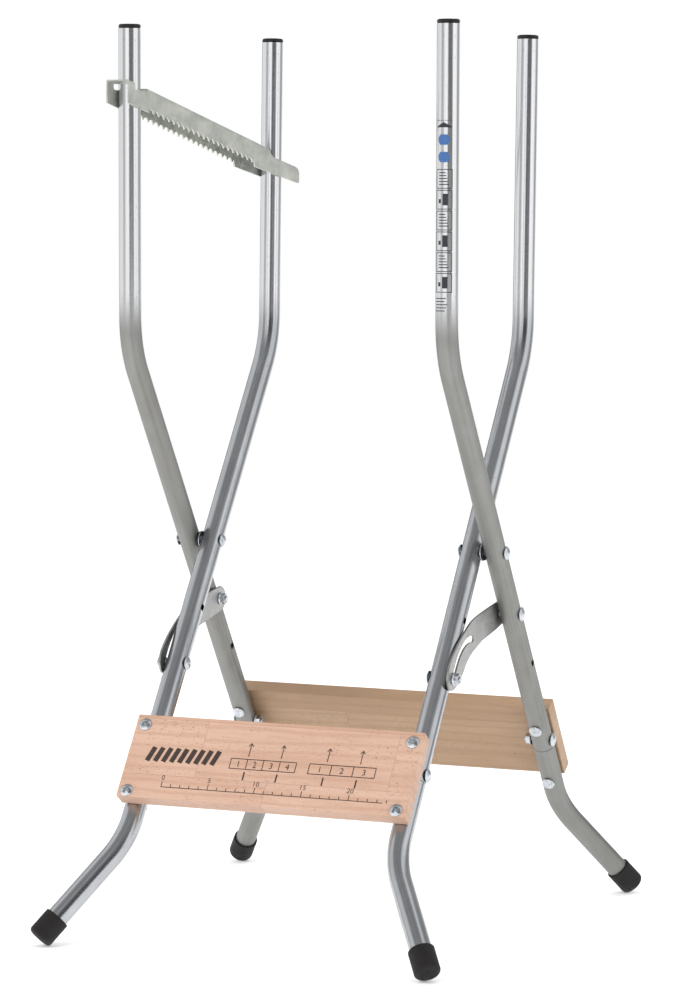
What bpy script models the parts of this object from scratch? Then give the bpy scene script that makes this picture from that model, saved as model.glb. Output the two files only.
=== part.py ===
# Folding sawhorse: two crossed tube frames, four foot tubes with rubber feet, two tie boards,
# two slotted brace plates and a toothed rail that swings on the left outer prong.
# X runs along the boards, Y from front to rear, Z up, and the feet stand on Z = 0.
# The outer frame has its prongs in front and its feet behind, the inner frame the other way round.

import bpy
import bmesh
from math import atan2, cos, hypot, pi, radians, sin, tan
from mathutils import Matrix, Vector

mm = 0.001
gap = 0.3 * mm                       # air left between pieces that touch

# Tubes
tube_radius = 11.0 * mm
tube_wall = 1.5 * mm
bore_radius = tube_radius - tube_wall
plug_radius = bore_radius - 2 * gap  # reduced end of a foot tube inside its leg

# Frames: the stretch that crosses the other frame is straight and passes through the pivot
outer_x = 169.0 * mm
leg_gap = 3.4 * mm                   # between an outer and an inner tube
inner_x = outer_x - 2 * tube_radius - leg_gap
slant = radians(35.0)                # from vertical
upper_run = 246.0 * mm               # pivot to upper bend
lower_run = 345.0 * mm               # pivot to lower bend
prong_run = 316.0 * mm
prong_lean = radians(0.7)
foot_run = 130.0 * mm
splay_x = radians(33.8)
splay_y = radians(36.3)
bend_radius = 100.0 * mm
plug_at = -215.0 * mm                # places along the slanted stretch, from the pivot upwards
rim_at = -260.0 * mm
upper_hole_at = -80.0 * mm
lower_hole_at = -145.0 * mm
joint_bolt_at = -252.0 * mm
board_screws_at = (-231.0 * mm, -304.5 * mm)

# Rubber feet and prong caps
foot_radius = 13.3 * mm
foot_height = 27.5 * mm
foot_floor = 4.0 * mm
foot_edge = 4.0 * mm
cap_height = 4.0 * mm
cap_plug = 12.0 * mm

# Boards
board_near = 11.3 * mm               # faces, from the tube axes
board_far = 28.0 * mm
board_top = -219.5 * mm
board_bottom = -311.0 * mm
board_edge = 1.2 * mm
front_board_length = 308.0 * mm
rear_board_length = 358.0 * mm

# Fasteners
bolt_radius = 3.0 * mm
neck_width = 5.8 * mm
square_hole = 6.5 * mm
screw_radius = 2.6 * mm
sleeve_radius = 3.9 * mm
rivet_radius = 4.0 * mm
hole_play = 0.35 * mm                # radial
nut_height = 6.0 * mm
nut_across = 10.0 * mm
flange_radius = 6.6 * mm

# Folding
fold_angle = radians(45.0)
brace_turn = radians(16.5)           # what a brace plate turns by as the frame folds fully
brace_sheet = 2.0 * mm
slot_half = 3.4 * mm

# Toothed rail: an inverted channel, drawn in u along it, from the axis of its prong, and z up
rail_heading = (0.0876, 0.9962)      # plan direction, from one prong to the other
rail_height = 843.6 * mm             # top line where it crosses its prong
rail_fall = 0.2144                   # of the top line, per unit of u
rail_inside = 23.0 * mm
rail_sheet = 1.5 * mm
rail_front = -23.0 * mm
rail_web_end = 257.0 * mm
rail_depth = 22.8 * mm
tooth_first = 15.5 * mm
tooth_pitch = 10.0 * mm
tooth_depth = 4.0 * mm
tooth_count = 22

# Heights follow from the feet: each stands on the lowest point of its rounded rubber end
foot_axis = Vector((tan(splay_x), tan(splay_y), -1.0)).normalized()
foot_tilt_cos = -foot_axis.z
foot_tilt_sin = (1.0 - foot_tilt_cos ** 2) ** 0.5


def arc(centre_r, centre_z, radius, start, end, steps):
    """Points of a profile's round stretch, by angle from the radial direction."""
    angles = [start + (end - start) * i / steps for i in range(steps + 1)]
    return [(centre_r + radius * cos(a), centre_z + radius * sin(a)) for a in angles]


foot_profile = [
    (0.0, foot_floor),
    (tube_radius + gap, foot_floor),
    (tube_radius + gap, foot_height),
    (foot_radius - 0.4 * mm, foot_height),
    (foot_radius, foot_height - 0.8 * mm),
    *arc(foot_radius - foot_edge, foot_edge, foot_edge, 0.0, -pi / 2, 4),
    (0.0, 0.0),
]
foot_drop = max(r * foot_tilt_sin - z * foot_tilt_cos for r, z in foot_profile)
pivot_height = lower_run * cos(slant) + foot_run * foot_tilt_cos + foot_drop

frames = {
    # prongs: side of the pivot in Y where the prongs stand; the feet and the board are opposite
    "inner": {"x": inner_x, "prongs": 1, "board_length": front_board_length, "brace_at": lower_hole_at},
    "outer": {"x": outer_x, "prongs": -1, "board_length": rear_board_length, "brace_at": upper_hole_at},
}
sides = {"left": -1, "right": 1}

galvanised = ((0.62, 0.63, 0.65), 0.32, 1.0)
zinc = ((0.66, 0.70, 0.76), 0.28, 1.0)
dull_zinc = ((0.60, 0.62, 0.58), 0.45, 1.0)
sheet_steel = ((0.36, 0.37, 0.38), 0.42, 1.0)
black_plastic = ((0.02, 0.02, 0.022), 0.4, 0.0)
black_rubber = ((0.025, 0.025, 0.027), 0.75, 0.0)
pink_beech = ((0.66, 0.45, 0.32), 0.5, 0.0)
tan_beech = ((0.55, 0.38, 0.23), 0.5, 0.0)


def clear_scene():
    for old in list(bpy.data.objects):
        bpy.data.objects.remove(old, do_unlink=True)


def new_collection(name):
    made = bpy.data.collections.new(name)
    bpy.context.scene.collection.children.link(made)
    return made


def new_material(name, look):
    colour, roughness, metallic = look
    made = bpy.data.materials.new(name)
    made.use_nodes = True
    shader = made.node_tree.nodes["Principled BSDF"]
    shader.inputs["Base Color"].default_value = (*colour, 1.0)
    shader.inputs["Roughness"].default_value = roughness
    shader.inputs["Metallic"].default_value = metallic
    made.diffuse_color = (*colour, 1.0)
    return made


def evaluated_mesh(obj):
    """The object's mesh with its modifiers applied, as mesh data of its own; the object goes."""
    bpy.context.view_layer.update()
    graph = bpy.context.evaluated_depsgraph_get()
    mesh = bpy.data.meshes.new_from_object(obj.evaluated_get(graph))
    bpy.data.objects.remove(obj, do_unlink=True)
    return mesh


def weld(mesh, distance=0.00001):
    work = bmesh.new()
    work.from_mesh(mesh)
    bmesh.ops.remove_doubles(work, verts=work.verts, dist=distance)
    work.to_mesh(mesh)
    work.free()
    return mesh


def helper(name, data):
    made = bpy.data.objects.new(name, data)
    cutters.objects.link(made)
    made.hide_render = True
    made.display_type = "WIRE"
    return made


def add_piece(name, mesh, look, place, body):
    """One sub-part in its place, parented to the empty on its body's joint axis."""
    made = bpy.data.objects.new(name, mesh)
    pieces.objects.link(made)
    made.data.shade_smooth()
    made.data.set_sharp_from_angle(angle=radians(35))
    made.data.materials.clear()
    made.data.materials.append(new_material(name, look))
    made.parent = bodies[body]
    made.matrix_parent_inverse = body_places[body].inverted()
    made.matrix_basis = place
    return made


def cut(obj, cutter, operation="DIFFERENCE"):
    change = obj.modifiers.new(cutter.name, "BOOLEAN")
    change.operation = operation
    change.solver = "EXACT"
    change.object = cutter


def turned(profile, steps=12, closed=False):
    """A body of revolution about Z; the profile is (r, z) and runs down its outer side."""
    outline = bpy.data.meshes.new("profile")
    edges = [(i, i + 1) for i in range(len(profile) - 1)]
    if closed:
        edges.append((len(profile) - 1, 0))
    outline.from_pydata([(r, 0.0, z) for r, z in profile], edges, [])
    obj = helper("turning", outline)
    screw = obj.modifiers.new("turn", "SCREW")
    screw.axis = "Z"
    screw.steps = steps
    screw.render_steps = steps
    screw.use_merge_vertices = True
    screw.merge_threshold = 0.00001
    return evaluated_mesh(obj)


def block(size, centre=(0.0, 0.0, 0.0)):
    mesh = bpy.data.meshes.new("block")
    work = bmesh.new()
    bmesh.ops.create_cube(work, size=1.0)
    bmesh.ops.scale(work, vec=size, verts=work.verts)
    bmesh.ops.translate(work, vec=centre, verts=work.verts)
    work.to_mesh(mesh)
    work.free()
    return mesh


def add_cylinder(work, radius, start, end, segments=12):
    """A closed cylinder between two points, added to a bmesh."""
    middle = (start + end) / 2
    direction = end - start
    turn = Vector((0, 0, 1)).rotation_difference(direction).to_matrix().to_4x4()
    bmesh.ops.create_cone(
        work, cap_ends=True, segments=segments, radius1=radius, radius2=radius,
        depth=direction.length, matrix=Matrix.Translation(middle) @ turn,
    )


def sheet(outlines, thickness):
    """Flat sheet in XY from closed outlines; the second and later ones are holes."""
    curve = bpy.data.curves.new("outline", "CURVE")
    curve.dimensions = "2D"
    curve.fill_mode = "BOTH"
    curve.extrude = thickness / 2
    for points in outlines:
        spline = curve.splines.new("POLY")
        spline.points.add(len(points) - 1)
        for point, (x, y) in zip(spline.points, points):
            point.co = (x, y, 0.0, 1.0)
        spline.use_cyclic_u = True
    return weld(evaluated_mesh(helper("sheet", curve)))


def bent_path(corners, radius, steps=5):
    """Points along a polyline whose inner corners are rounded to one radius."""
    path = [corners[0]]
    for before, corner, after in zip(corners, corners[1:], corners[2:]):
        back = (before - corner).normalized()
        ahead = (after - corner).normalized()
        half = back.angle(ahead) / 2
        centre = corner + (back + ahead).normalized() * (radius / sin(half))
        start = corner + back * (radius / tan(half))
        first = start - centre
        last = corner + ahead * (radius / tan(half)) - centre
        path += [centre + first.slerp(last, i / steps) * radius for i in range(steps + 1)]
    path.append(corners[-1])
    return path


def tube_mesh(path, sizes):
    """Open tube skin along a path; sizes scale the tube's radius at each point."""
    curve = bpy.data.curves.new("tube", "CURVE")
    curve.dimensions = "3D"
    curve.bevel_depth = tube_radius
    curve.bevel_resolution = 4
    spline = curve.splines.new("POLY")
    spline.points.add(len(path) - 1)
    for point, place, size in zip(spline.points, path, sizes):
        point.co = (*place, 1.0)
        point.radius = size
    return evaluated_mesh(helper("tube", curve))


def frame_place(kind):
    """Pivot frame of a tube frame: local Z runs up its slanted stretch, local Y points rearwards."""
    tilt = -frames[kind]["prongs"] * slant
    return Matrix.Translation((0, 0, pivot_height)) @ Matrix.Rotation(tilt, 4, "X")


def facing_x(sign):
    return Matrix.Rotation(sign * pi / 2, 4, "Y")


def facing_y(sign):
    return Matrix.Rotation(-sign * pi / 2, 4, "X")


def leg_corners(kind, sign):
    """Prong top, upper bend, lower bend and foot end of one leg."""
    frame = frames[kind]
    place = frame_place(kind)
    upper = place @ Vector((sign * frame["x"], 0, upper_run))
    lower = place @ Vector((sign * frame["x"], 0, -lower_run))
    top = upper + prong_axis(kind) * prong_run
    return top, upper, lower, lower + leg_foot_axis(kind, sign) * foot_run


def prong_axis(kind):
    return Vector((0, frames[kind]["prongs"] * sin(prong_lean), cos(prong_lean)))


def leg_foot_axis(kind, sign):
    return Vector((sign * foot_axis.x, -frames[kind]["prongs"] * foot_axis.y, foot_axis.z))


def drillings(kind, sign):
    """Everything that is cut through one leg, as one cutter."""
    frame = frames[kind]
    x = sign * frame["x"]
    board_side = -frame["prongs"]
    reach = tube_radius + 4 * mm
    work = bmesh.new()
    for at, radius in ((0.0, rivet_radius), (joint_bolt_at, bolt_radius)):
        add_cylinder(work, radius + hole_play, Vector((x - reach, 0, at)), Vector((x + reach, 0, at)))
    for at in board_screws_at:
        near = Vector((x, board_side * 3 * mm, at))
        add_cylinder(work, screw_radius + hole_play, near, Vector((x, board_side * reach, at)))
        far = Vector((x, -board_side * 3 * mm, at))
        add_cylinder(work, sleeve_radius + hole_play, far, Vector((x, -board_side * reach, at)))
    for at in (upper_hole_at, lower_hole_at):
        hole = bmesh.ops.create_cube(work, size=1.0)["verts"]
        bmesh.ops.scale(work, vec=(2 * reach, square_hole, square_hole), verts=hole)
        bmesh.ops.translate(work, vec=(x, 0, at), verts=hole)
    mesh = bpy.data.meshes.new("drillings")
    work.to_mesh(mesh)
    work.free()
    cutter = helper(f"{kind}_drillings_{'left' if sign < 0 else 'right'}", mesh)
    cutter.matrix_world = frame_place(kind)
    return cutter


def add_tube(name, path, sizes, cutter, body):
    obj = add_piece(name, tube_mesh(path, sizes), galvanised, Matrix.Identity(4), body)
    wall = obj.modifiers.new("wall", "SOLIDIFY")
    wall.thickness = tube_wall
    wall.offset = -1.0
    cut(obj, cutter)


def add_leg(kind, side):
    """Leg tube, foot tube, cap and rubber foot of one leg."""
    sign = sides[side]
    body = f"{kind}_frame"
    top, upper, lower, end = leg_corners(kind, sign)
    place = frame_place(kind)
    cutter = drillings(kind, sign)

    def along(at):
        return place @ Vector((sign * frames[kind]["x"], 0, at))

    leg_path = bent_path([top, upper, along(rim_at)], bend_radius)
    add_tube(f"{kind}_leg_{side}", leg_path, [1.0] * len(leg_path), cutter, body)

    # the foot tube's upper end is reduced to slide into the leg, up to the leg's rim
    reduced = plug_radius / tube_radius
    tube_end = lower + leg_foot_axis(kind, sign) * (foot_run - foot_floor - gap)
    bend = bent_path([along(rim_at - gap), lower, tube_end], bend_radius)
    foot_path = [along(plug_at), along(rim_at - gap / 3)] + bend
    foot_sizes = [reduced, reduced] + [1.0] * len(bend)
    add_tube(f"{kind}_foot_tube_{side}", foot_path, foot_sizes, cutter, body)

    cap_profile = [
        (0.0, cap_height),
        *arc(tube_radius - 2 * mm, cap_height - 2 * mm, 2 * mm, pi / 2, 0.0, 2),
        (tube_radius, gap),
        (bore_radius - 2 * gap, gap),
        (bore_radius - 2 * gap, -cap_plug),
        (0.0, -cap_plug),
    ]
    cap_turn = Vector((0, 0, 1)).rotation_difference(prong_axis(kind)).to_matrix().to_4x4()
    cap_place = Matrix.Translation(top) @ cap_turn
    add_piece(f"{kind}_cap_{side}", turned(cap_profile, 16), black_plastic, cap_place, body)

    # local Z of a foot points up its tube, and local X to its lowest side
    up = -leg_foot_axis(kind, sign)
    down_side = (Vector((0, 0, -1)) + up * up.z).normalized()
    turn = Matrix((down_side, up.cross(down_side), up)).transposed().to_4x4()
    foot_place = Matrix.Translation(end) @ turn
    add_piece(f"{kind}_rubber_foot_{side}", turned(foot_profile, 16), black_rubber, foot_place, body)


def dome(radius, height, base, upward, steps=3):
    """Profile of a domed head, from its axis outwards; its base stays at one level."""
    bulge = (radius ** 2 + height ** 2) / (2 * height)
    spread = atan2(radius, bulge - height)
    points = []
    for i in range(steps + 1):
        angle = spread * i / steps
        points.append((bulge * sin(angle), base + upward * (bulge * cos(angle) - bulge + height)))
    points[0] = (0.0, points[0][1])
    return points


def bolt_mesh(head_radius, head_height, shank_radius, length, neck=0.0):
    """Domed head up, underside at zero; an optional square neck grips a square hole."""
    profile = dome(head_radius, head_height, 0.6 * mm, 1)
    profile += [
        (head_radius, 0.0),
        (shank_radius, 0.0),
        (shank_radius, 0.8 * mm - length),
        (shank_radius - 0.8 * mm, -length),
        (0.0, -length),
    ]
    mesh = turned(profile)
    if neck:
        obj = helper("bolt", mesh)
        cut(obj, helper("neck", block((neck_width, neck_width, neck), (0, 0, 0.1 * mm - neck / 2))), "UNION")
        mesh = evaluated_mesh(obj)
    return mesh


def flange_nut_mesh():
    """Hexagon nut with a round flange below, bored right through; its flange sits at zero."""
    flange = 1.4 * mm
    work = bmesh.new()
    corner = nut_across / 2 / cos(pi / 6)
    add_cylinder(work, corner, Vector((0, 0, 0.4 * mm)), Vector((0, 0, nut_height)), 6)
    hexagon = bpy.data.meshes.new("hexagon")
    work.to_mesh(hexagon)
    work.free()
    obj = helper("nut", hexagon)
    ring = turned([(0, flange), (5.6 * mm, flange), (flange_radius, 0.5 * mm), (flange_radius, 0), (0, 0)])
    cut(obj, helper("flange", ring), "UNION")
    work = bmesh.new()
    bore = bpy.data.meshes.new("bore")
    add_cylinder(work, bolt_radius + gap, Vector((0, 0, -nut_height)), Vector((0, 0, 2 * nut_height)))
    work.to_mesh(bore)
    work.free()
    cut(obj, helper("bore", bore))
    return evaluated_mesh(obj)


def add_bolt_pair(names, kind, sign, head_side, at, body, bolt, nut, spacing):
    """A bolt along X through one leg and its nut on the other side, spacing away from the tube."""
    place = frame_place(kind)
    x = sign * frames[kind]["x"]
    head = Matrix.Translation((x + head_side * (tube_radius + gap), 0, at)) @ facing_x(head_side)
    tail = Matrix.Translation((x - head_side * (tube_radius + spacing), 0, at)) @ facing_x(-head_side)
    add_piece(names[0], bolt, zinc, place @ head, body)
    add_piece(names[1], nut, zinc, place @ tail, body)


def add_fasteners(kind, side):
    """Brace bolt, joint bolt and the two board screws of one leg, with their nuts."""
    sign = sides[side]
    frame = frames[kind]
    body = f"{kind}_frame"
    # the brace plate lies in the gap between the legs, so its bolts point into the gap
    brace_head = sign if kind == "outer" else -sign
    plate_side = (leg_gap + brace_sheet) / 2 + gap
    brace_bolt = bolt_mesh(7.3 * mm, 3.2 * mm, bolt_radius, 2 * tube_radius + plate_side + 8 * mm, 3.5 * mm)
    names = (f"{kind}_brace_bolt_{side}", f"{kind}_brace_nut_{side}")
    add_bolt_pair(names, kind, sign, brace_head, frame["brace_at"], body, brace_bolt,
                  flange_nut_mesh(), plate_side)

    joint_bolt = bolt_mesh(7.1 * mm, 3.2 * mm, bolt_radius, 2 * tube_radius + 8.5 * mm)
    names = (f"{kind}_joint_bolt_{side}", f"{kind}_joint_nut_{side}")
    add_bolt_pair(names, kind, sign, sign, joint_bolt_at, body, joint_bolt, flange_nut_mesh(), gap)

    board_side = -frame["prongs"]
    screw_length = board_far + 8 * mm
    for level, at in zip(("upper", "lower"), board_screws_at):
        screw = bolt_mesh(6.6 * mm, 3.0 * mm, screw_radius, screw_length)
        sleeve = turned([
            (0.0, 2.2 * mm),
            (5.6 * mm, 2.0 * mm),
            (6.7 * mm, 1.1 * mm),
            (6.7 * mm, 0.0),
            (sleeve_radius, 0.0),
            (sleeve_radius, -10 * mm),
            (screw_radius + gap, -10 * mm),
            (screw_radius + gap, -1 * mm),
            (0.0, -1 * mm),
        ])
        x = sign * frame["x"]
        front = Matrix.Translation((x, board_side * (board_far + gap), at)) @ facing_y(board_side)
        back = Matrix.Translation((x, -board_side * (tube_radius + gap), at)) @ facing_y(-board_side)
        board = "front" if kind == "inner" else "rear"
        place = frame_place(kind)
        add_piece(f"{board}_board_screw_{level}_{side}", screw, zinc, place @ front, body)
        add_piece(f"{board}_sleeve_nut_{level}_{side}", sleeve, zinc, place @ back, body)


def add_board(name, kind, look):
    frame = frames[kind]
    board_side = -frame["prongs"]
    size = (frame["board_length"], board_far - board_near, board_top - board_bottom)
    centre = (0, board_side * (board_far + board_near) / 2, (board_top + board_bottom) / 2)
    mesh = block(size)
    place = frame_place(kind) @ Matrix.Translation(centre)
    board = add_piece(name, mesh, look, place, f"{kind}_frame")
    edge = board.modifiers.new("edge", "BEVEL")
    edge.width = board_edge
    edge.segments = 1
    work = bmesh.new()
    for at in board_screws_at:
        for sign in sides.values():
            start = Vector((sign * frame["x"], -size[1], at - centre[2]))
            add_cylinder(work, screw_radius + hole_play, start, start + Vector((0, 2 * size[1], 0)))
    holes = bpy.data.meshes.new("board_holes")
    work.to_mesh(holes)
    work.free()
    cutter = helper(f"{name}_holes", holes)
    cutter.matrix_world = place
    cut(board, cutter)


def add_pivot(side):
    """Rivet through both legs of one side, with a plastic spacer and a washer between them."""
    sign = sides[side]
    middle = (outer_x + inner_x) / 2
    reach = tube_radius + gap
    high = outer_x - middle + reach
    low = inner_x - middle - reach
    rivet = dome(6.8 * mm, 3.6 * mm, high, 1)
    rivet += [(rivet_radius, high), (rivet_radius, low)]
    rivet += list(reversed(dome(6.8 * mm, 3.6 * mm, low, -1)))
    place = Matrix.Translation((sign * middle, 0, pivot_height)) @ facing_x(sign)
    add_piece(f"pivot_rivet_{side}", turned(rivet), zinc, place, "inner_frame")
    half = leg_gap / 2 - gap
    split = -half + 0.9 * mm
    ring = rivet_radius + gap
    washer = [(ring, split), (9.0 * mm, split), (9.0 * mm, -half), (ring, -half)]
    spacer = [(ring, half), (8.4 * mm, half), (8.4 * mm, split + gap), (ring, split + gap)]
    add_piece(f"pivot_washer_{side}", turned(washer, closed=True), zinc, place, "inner_frame")
    add_piece(f"pivot_spacer_{side}", turned(spacer, closed=True), black_plastic, place, "inner_frame")


def turn_about_x(y, z, angle):
    return y * cos(angle) - z * sin(angle), y * sin(angle) + z * cos(angle)


# Where the brace plate meets the outer frame (its hinge) and the inner frame (the pin in its slot),
# in Y and Z from the main pivot
hinge_spot = (-upper_hole_at * sin(slant), upper_hole_at * cos(slant))
pin_spot = (lower_hole_at * sin(slant), lower_hole_at * cos(slant))


def slot_centre(share):
    """Place of the pin in the plate, from its hinge, at a share of the full fold."""
    y, z = turn_about_x(*hinge_spot, -fold_angle * share)
    return turn_about_x(pin_spot[0] - y, pin_spot[1] - z, -brace_turn * share)


def slot_outline(steps=8):
    """The pin's path widened to both sides, with round ends."""
    centre = [slot_centre(i / steps) for i in range(steps + 1)]
    directions = []
    for i in range(steps + 1):
        before = centre[max(i - 1, 0)]
        after = centre[min(i + 1, steps)]
        directions.append(atan2(after[1] - before[1], after[0] - before[0]))
    left = [(y + slot_half * cos(a + pi / 2), z + slot_half * sin(a + pi / 2))
            for (y, z), a in zip(centre, directions)]
    right = [(y + slot_half * cos(a - pi / 2), z + slot_half * sin(a - pi / 2))
             for (y, z), a in zip(centre, directions)]
    start, end = directions[0], directions[-1]
    far_end = arc(*centre[-1], slot_half, end + pi / 2, end - pi / 2, 6)[1:-1]
    near_end = arc(*centre[0], slot_half, start - pi / 2, start - 3 * pi / 2, 6)[1:-1]
    return left + far_end + list(reversed(right)) + near_end


def smooth_through(points, steps=3):
    """Catmull-Rom curve through the points."""
    path = []
    ends = [points[0]] + points + [points[-1]]
    for a, b, c, d in zip(ends, ends[1:], ends[2:], ends[3:]):
        for i in range(steps):
            t = i / steps
            path.append(tuple(
                0.5 * (2 * q + (r - p) * t + (2 * p - 5 * q + 4 * r - s) * t ** 2
                       + (3 * q - p - 3 * r + s) * t ** 3)
                for p, q, r, s in zip(a, b, c, d)
            ))
    path.append(points[-1])
    return path


def add_brace(side):
    """Slotted plate in the gap between the legs; it turns on the outer leg's bolt."""
    sign = sides[side]
    # back edge, from the top of the round hinge end, round the tip, to the corner on the front edge
    edge = [(1.0, 13.0), (-38.5, 7.2), (-76.0, 0.0), (-100.4, -10.9), (-124.4, -26.2), (-140.0, -40.5),
            (-144.5, -52.5), (-139.5, -62.5), (-127.0, -64.0), (-108.0, -54.5), (-87.3, -37.2),
            (-66.0, -28.5), (-50.2, -23.2)]
    edge = [(y * mm, z * mm) for y, z in edge]
    corner = (-12.2 * mm, -16.1 * mm)
    hinge_end = arc(0.0, 0.0, 13.0 * mm, radians(-65), radians(80), 9)
    outline = smooth_through(edge) + [corner] + hinge_end
    hole = arc(0.0, 0.0, bolt_radius + hole_play, 0.0, 2 * pi, 16)[:-1]
    mesh = sheet([outline, slot_outline(), hole], brace_sheet)
    # the sheet's own X and Y become Y and Z, and its thickness lies along X
    stand = Matrix(((0, 0, 1, 0), (1, 0, 0, 0), (0, 1, 0, 0), (0, 0, 0, 1)))
    middle = sign * (outer_x + inner_x) / 2
    place = Matrix.Translation((middle, hinge_spot[0], pivot_height + hinge_spot[1])) @ stand
    add_piece(f"brace_plate_{side}", mesh, sheet_steel, place, f"brace_{side}")


def rail_top(u):
    return -rail_fall * u


def rail_outline():
    """Side view of the rail from its top line at the prong: teeth below, an open tongue behind."""
    points = [(rail_front, rail_top(rail_front)), (rail_web_end, rail_top(rail_web_end))]
    points += [(264 * mm, -58.2 * mm), (268 * mm, -62.4 * mm), (272 * mm, -64.6 * mm)]
    points += [(322 * mm, -74.2 * mm), (327 * mm, -77.0 * mm), (327 * mm, -84.0 * mm)]
    points += [(323 * mm, -91.2 * mm), (231 * mm, -75.6 * mm)]
    for i in reversed(range(tooth_count)):
        tip = tooth_first + i * tooth_pitch
        valley = tip + 0.55 * tooth_pitch
        for u, rise in ((valley + 0.6 * mm, tooth_depth), (valley - 0.6 * mm, tooth_depth), (tip, 0.0)):
            points.append((u, rail_top(u) - rail_depth + rise))
    points.append((rail_front, rail_top(rail_front) - rail_depth))
    return points


def add_rail():
    """Toothed channel on the left outer prong; its tongue straddles the left inner prong."""
    stand = Matrix(((1, 0, 0, 0), (0, 0, -1, 0), (0, 1, 0, 0), (0, 0, 0, 1)))
    solid = sheet([rail_outline()], rail_inside + 2 * rail_sheet)
    solid.transform(stand)
    place = rail_place()
    rail = add_piece("toothed_rail", solid, dull_zinc, place, "toothed_rail")

    far = 360 * mm
    drop = rail_sheet * hypot(1.0, rail_fall)
    hollow_top = [(rail_front - 9 * mm, rail_top(rail_front - 9 * mm) - drop), (far, rail_top(far) - drop)]
    hollow_outline = hollow_top + [(far, -150 * mm), (rail_front - 9 * mm, -50 * mm)]
    hollow = sheet([hollow_outline], rail_inside)
    hollow.transform(stand)
    hollow_cutter = helper("rail_hollow", hollow)
    # the window for the prong also lowers both strips beside it
    window_outline = [(-11.5 * mm, 12 * mm), (-11.5 * mm, -6.8 * mm), (-9 * mm, -9.0 * mm),
                      (11 * mm, -9.6 * mm), (13.4 * mm, -7.5 * mm), (13.4 * mm, 12 * mm)]
    window = sheet([[(u, z + 4.6 * mm) for u, z in window_outline]], 40 * mm)
    window.transform(stand)
    window_cutter = helper("rail_window", window)
    open_end = block((110 * mm, rail_inside, 60 * mm), (rail_web_end + 55 * mm, 0, rail_top(rail_web_end)))
    end_cutter = helper("rail_open_end", open_end)
    for cutter in (hollow_cutter, window_cutter, end_cutter):
        cutter.matrix_world = place
        cut(rail, cutter)


def prong_point(height):
    """Point on the left outer prong's axis at a height."""
    upper = leg_corners("outer", -1)[1]
    return upper + prong_axis("outer") * ((height - upper.z) / cos(prong_lean))


def rail_place():
    """Rail frame: X along the rail in plan, Z up, origin on the prong's axis at the top line."""
    along = Vector((*rail_heading, 0.0)).normalized()
    across = Vector((-along.y, along.x, 0.0))
    turn = Matrix((along, across, Vector((0, 0, 1)))).transposed().to_4x4()
    return Matrix.Translation(prong_point(rail_height)) @ turn


clear_scene()
pieces = new_collection("folding_sawhorse")
cutters = new_collection("cutters")

# One empty on each joint axis
hinge_height = pivot_height + hinge_spot[1]
body_places = {
    "inner_frame": Matrix.Identity(4),
    "outer_frame": Matrix.Translation((0, 0, pivot_height)),
    "brace_left": Matrix.Translation((-outer_x, hinge_spot[0], hinge_height)),
    "brace_right": Matrix.Translation((outer_x, hinge_spot[0], hinge_height)),
    "toothed_rail": Matrix.Translation(prong_point(rail_height)),
}
body_parents = {"outer_frame": "inner_frame", "brace_left": "outer_frame",
                "brace_right": "outer_frame", "toothed_rail": "outer_frame"}
bodies = {}
for body_name, body_place in body_places.items():
    bodies[body_name] = bpy.data.objects.new(f"{body_name}_axis", None)
    pieces.objects.link(bodies[body_name])
    bodies[body_name].matrix_basis = body_place
for child, parent in body_parents.items():
    bodies[child].parent = bodies[parent]
    bodies[child].matrix_parent_inverse = body_places[parent].inverted()

for frame_kind in frames:
    for leg_side in sides:
        add_leg(frame_kind, leg_side)
        add_fasteners(frame_kind, leg_side)
add_board("front_board", "inner", pink_beech)
add_board("rear_board", "outer", tan_beech)
for plate_side_name in sides:
    add_pivot(plate_side_name)
    add_brace(plate_side_name)
add_rail()
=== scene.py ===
import math
import bpy
import bmesh
import numpy as np
from mathutils import Matrix, Vector


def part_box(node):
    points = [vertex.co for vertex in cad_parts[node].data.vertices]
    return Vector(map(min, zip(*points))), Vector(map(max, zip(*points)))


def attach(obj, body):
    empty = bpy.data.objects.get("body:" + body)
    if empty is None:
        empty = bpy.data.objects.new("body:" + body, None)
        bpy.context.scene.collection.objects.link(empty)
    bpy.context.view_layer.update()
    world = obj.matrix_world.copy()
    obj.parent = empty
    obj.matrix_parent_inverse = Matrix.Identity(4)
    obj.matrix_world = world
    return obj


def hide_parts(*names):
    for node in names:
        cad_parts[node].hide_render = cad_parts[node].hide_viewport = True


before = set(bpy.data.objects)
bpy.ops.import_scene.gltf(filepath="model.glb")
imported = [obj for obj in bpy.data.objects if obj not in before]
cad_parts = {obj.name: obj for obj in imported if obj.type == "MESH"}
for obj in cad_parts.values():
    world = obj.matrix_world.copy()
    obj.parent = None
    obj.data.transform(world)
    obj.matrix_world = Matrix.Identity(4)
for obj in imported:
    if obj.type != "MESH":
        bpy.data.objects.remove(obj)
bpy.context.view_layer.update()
print("frame loaded:", len(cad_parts), "nodes")

mm = 0.001
air = 0.3 * mm  # left between pieces that touch

# the tubes and how the two frames are bent; every piece below is placed from these
tube = {
    "radius": 11 * mm,
    "wall": 1.5 * mm,
    "outerX": 169 * mm,
    "legGap": 3.4 * mm,
    "slant": math.radians(35),
    "upperRun": 246 * mm,
    "lowerRun": 345 * mm,
    "prongRun": 316 * mm,
    "prongLean": math.radians(0.7),
    "footRun": 130 * mm,
    "splayX": math.radians(33.8),
    "splayY": math.radians(36.3),
    "bendRadius": 100 * mm,
    "plugAt": -215 * mm,
    "rimAt": -260 * mm,
    "sides": 56,
    "endEase": 0.35 * mm,  # the cut ends are deburred
}
tube["innerX"] = tube["outerX"] - 2 * tube["radius"] - tube["legGap"]
tube["bore"] = tube["radius"] - tube["wall"]

# places along the slanted stretch, measured up it from the pivot
spots = {
    "upperHole": -80 * mm,
    "lowerHole": -145 * mm,
    "jointBolt": -252 * mm,
    "upperScrew": -231 * mm,
    "lowerScrew": -304.5 * mm,
}

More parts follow.
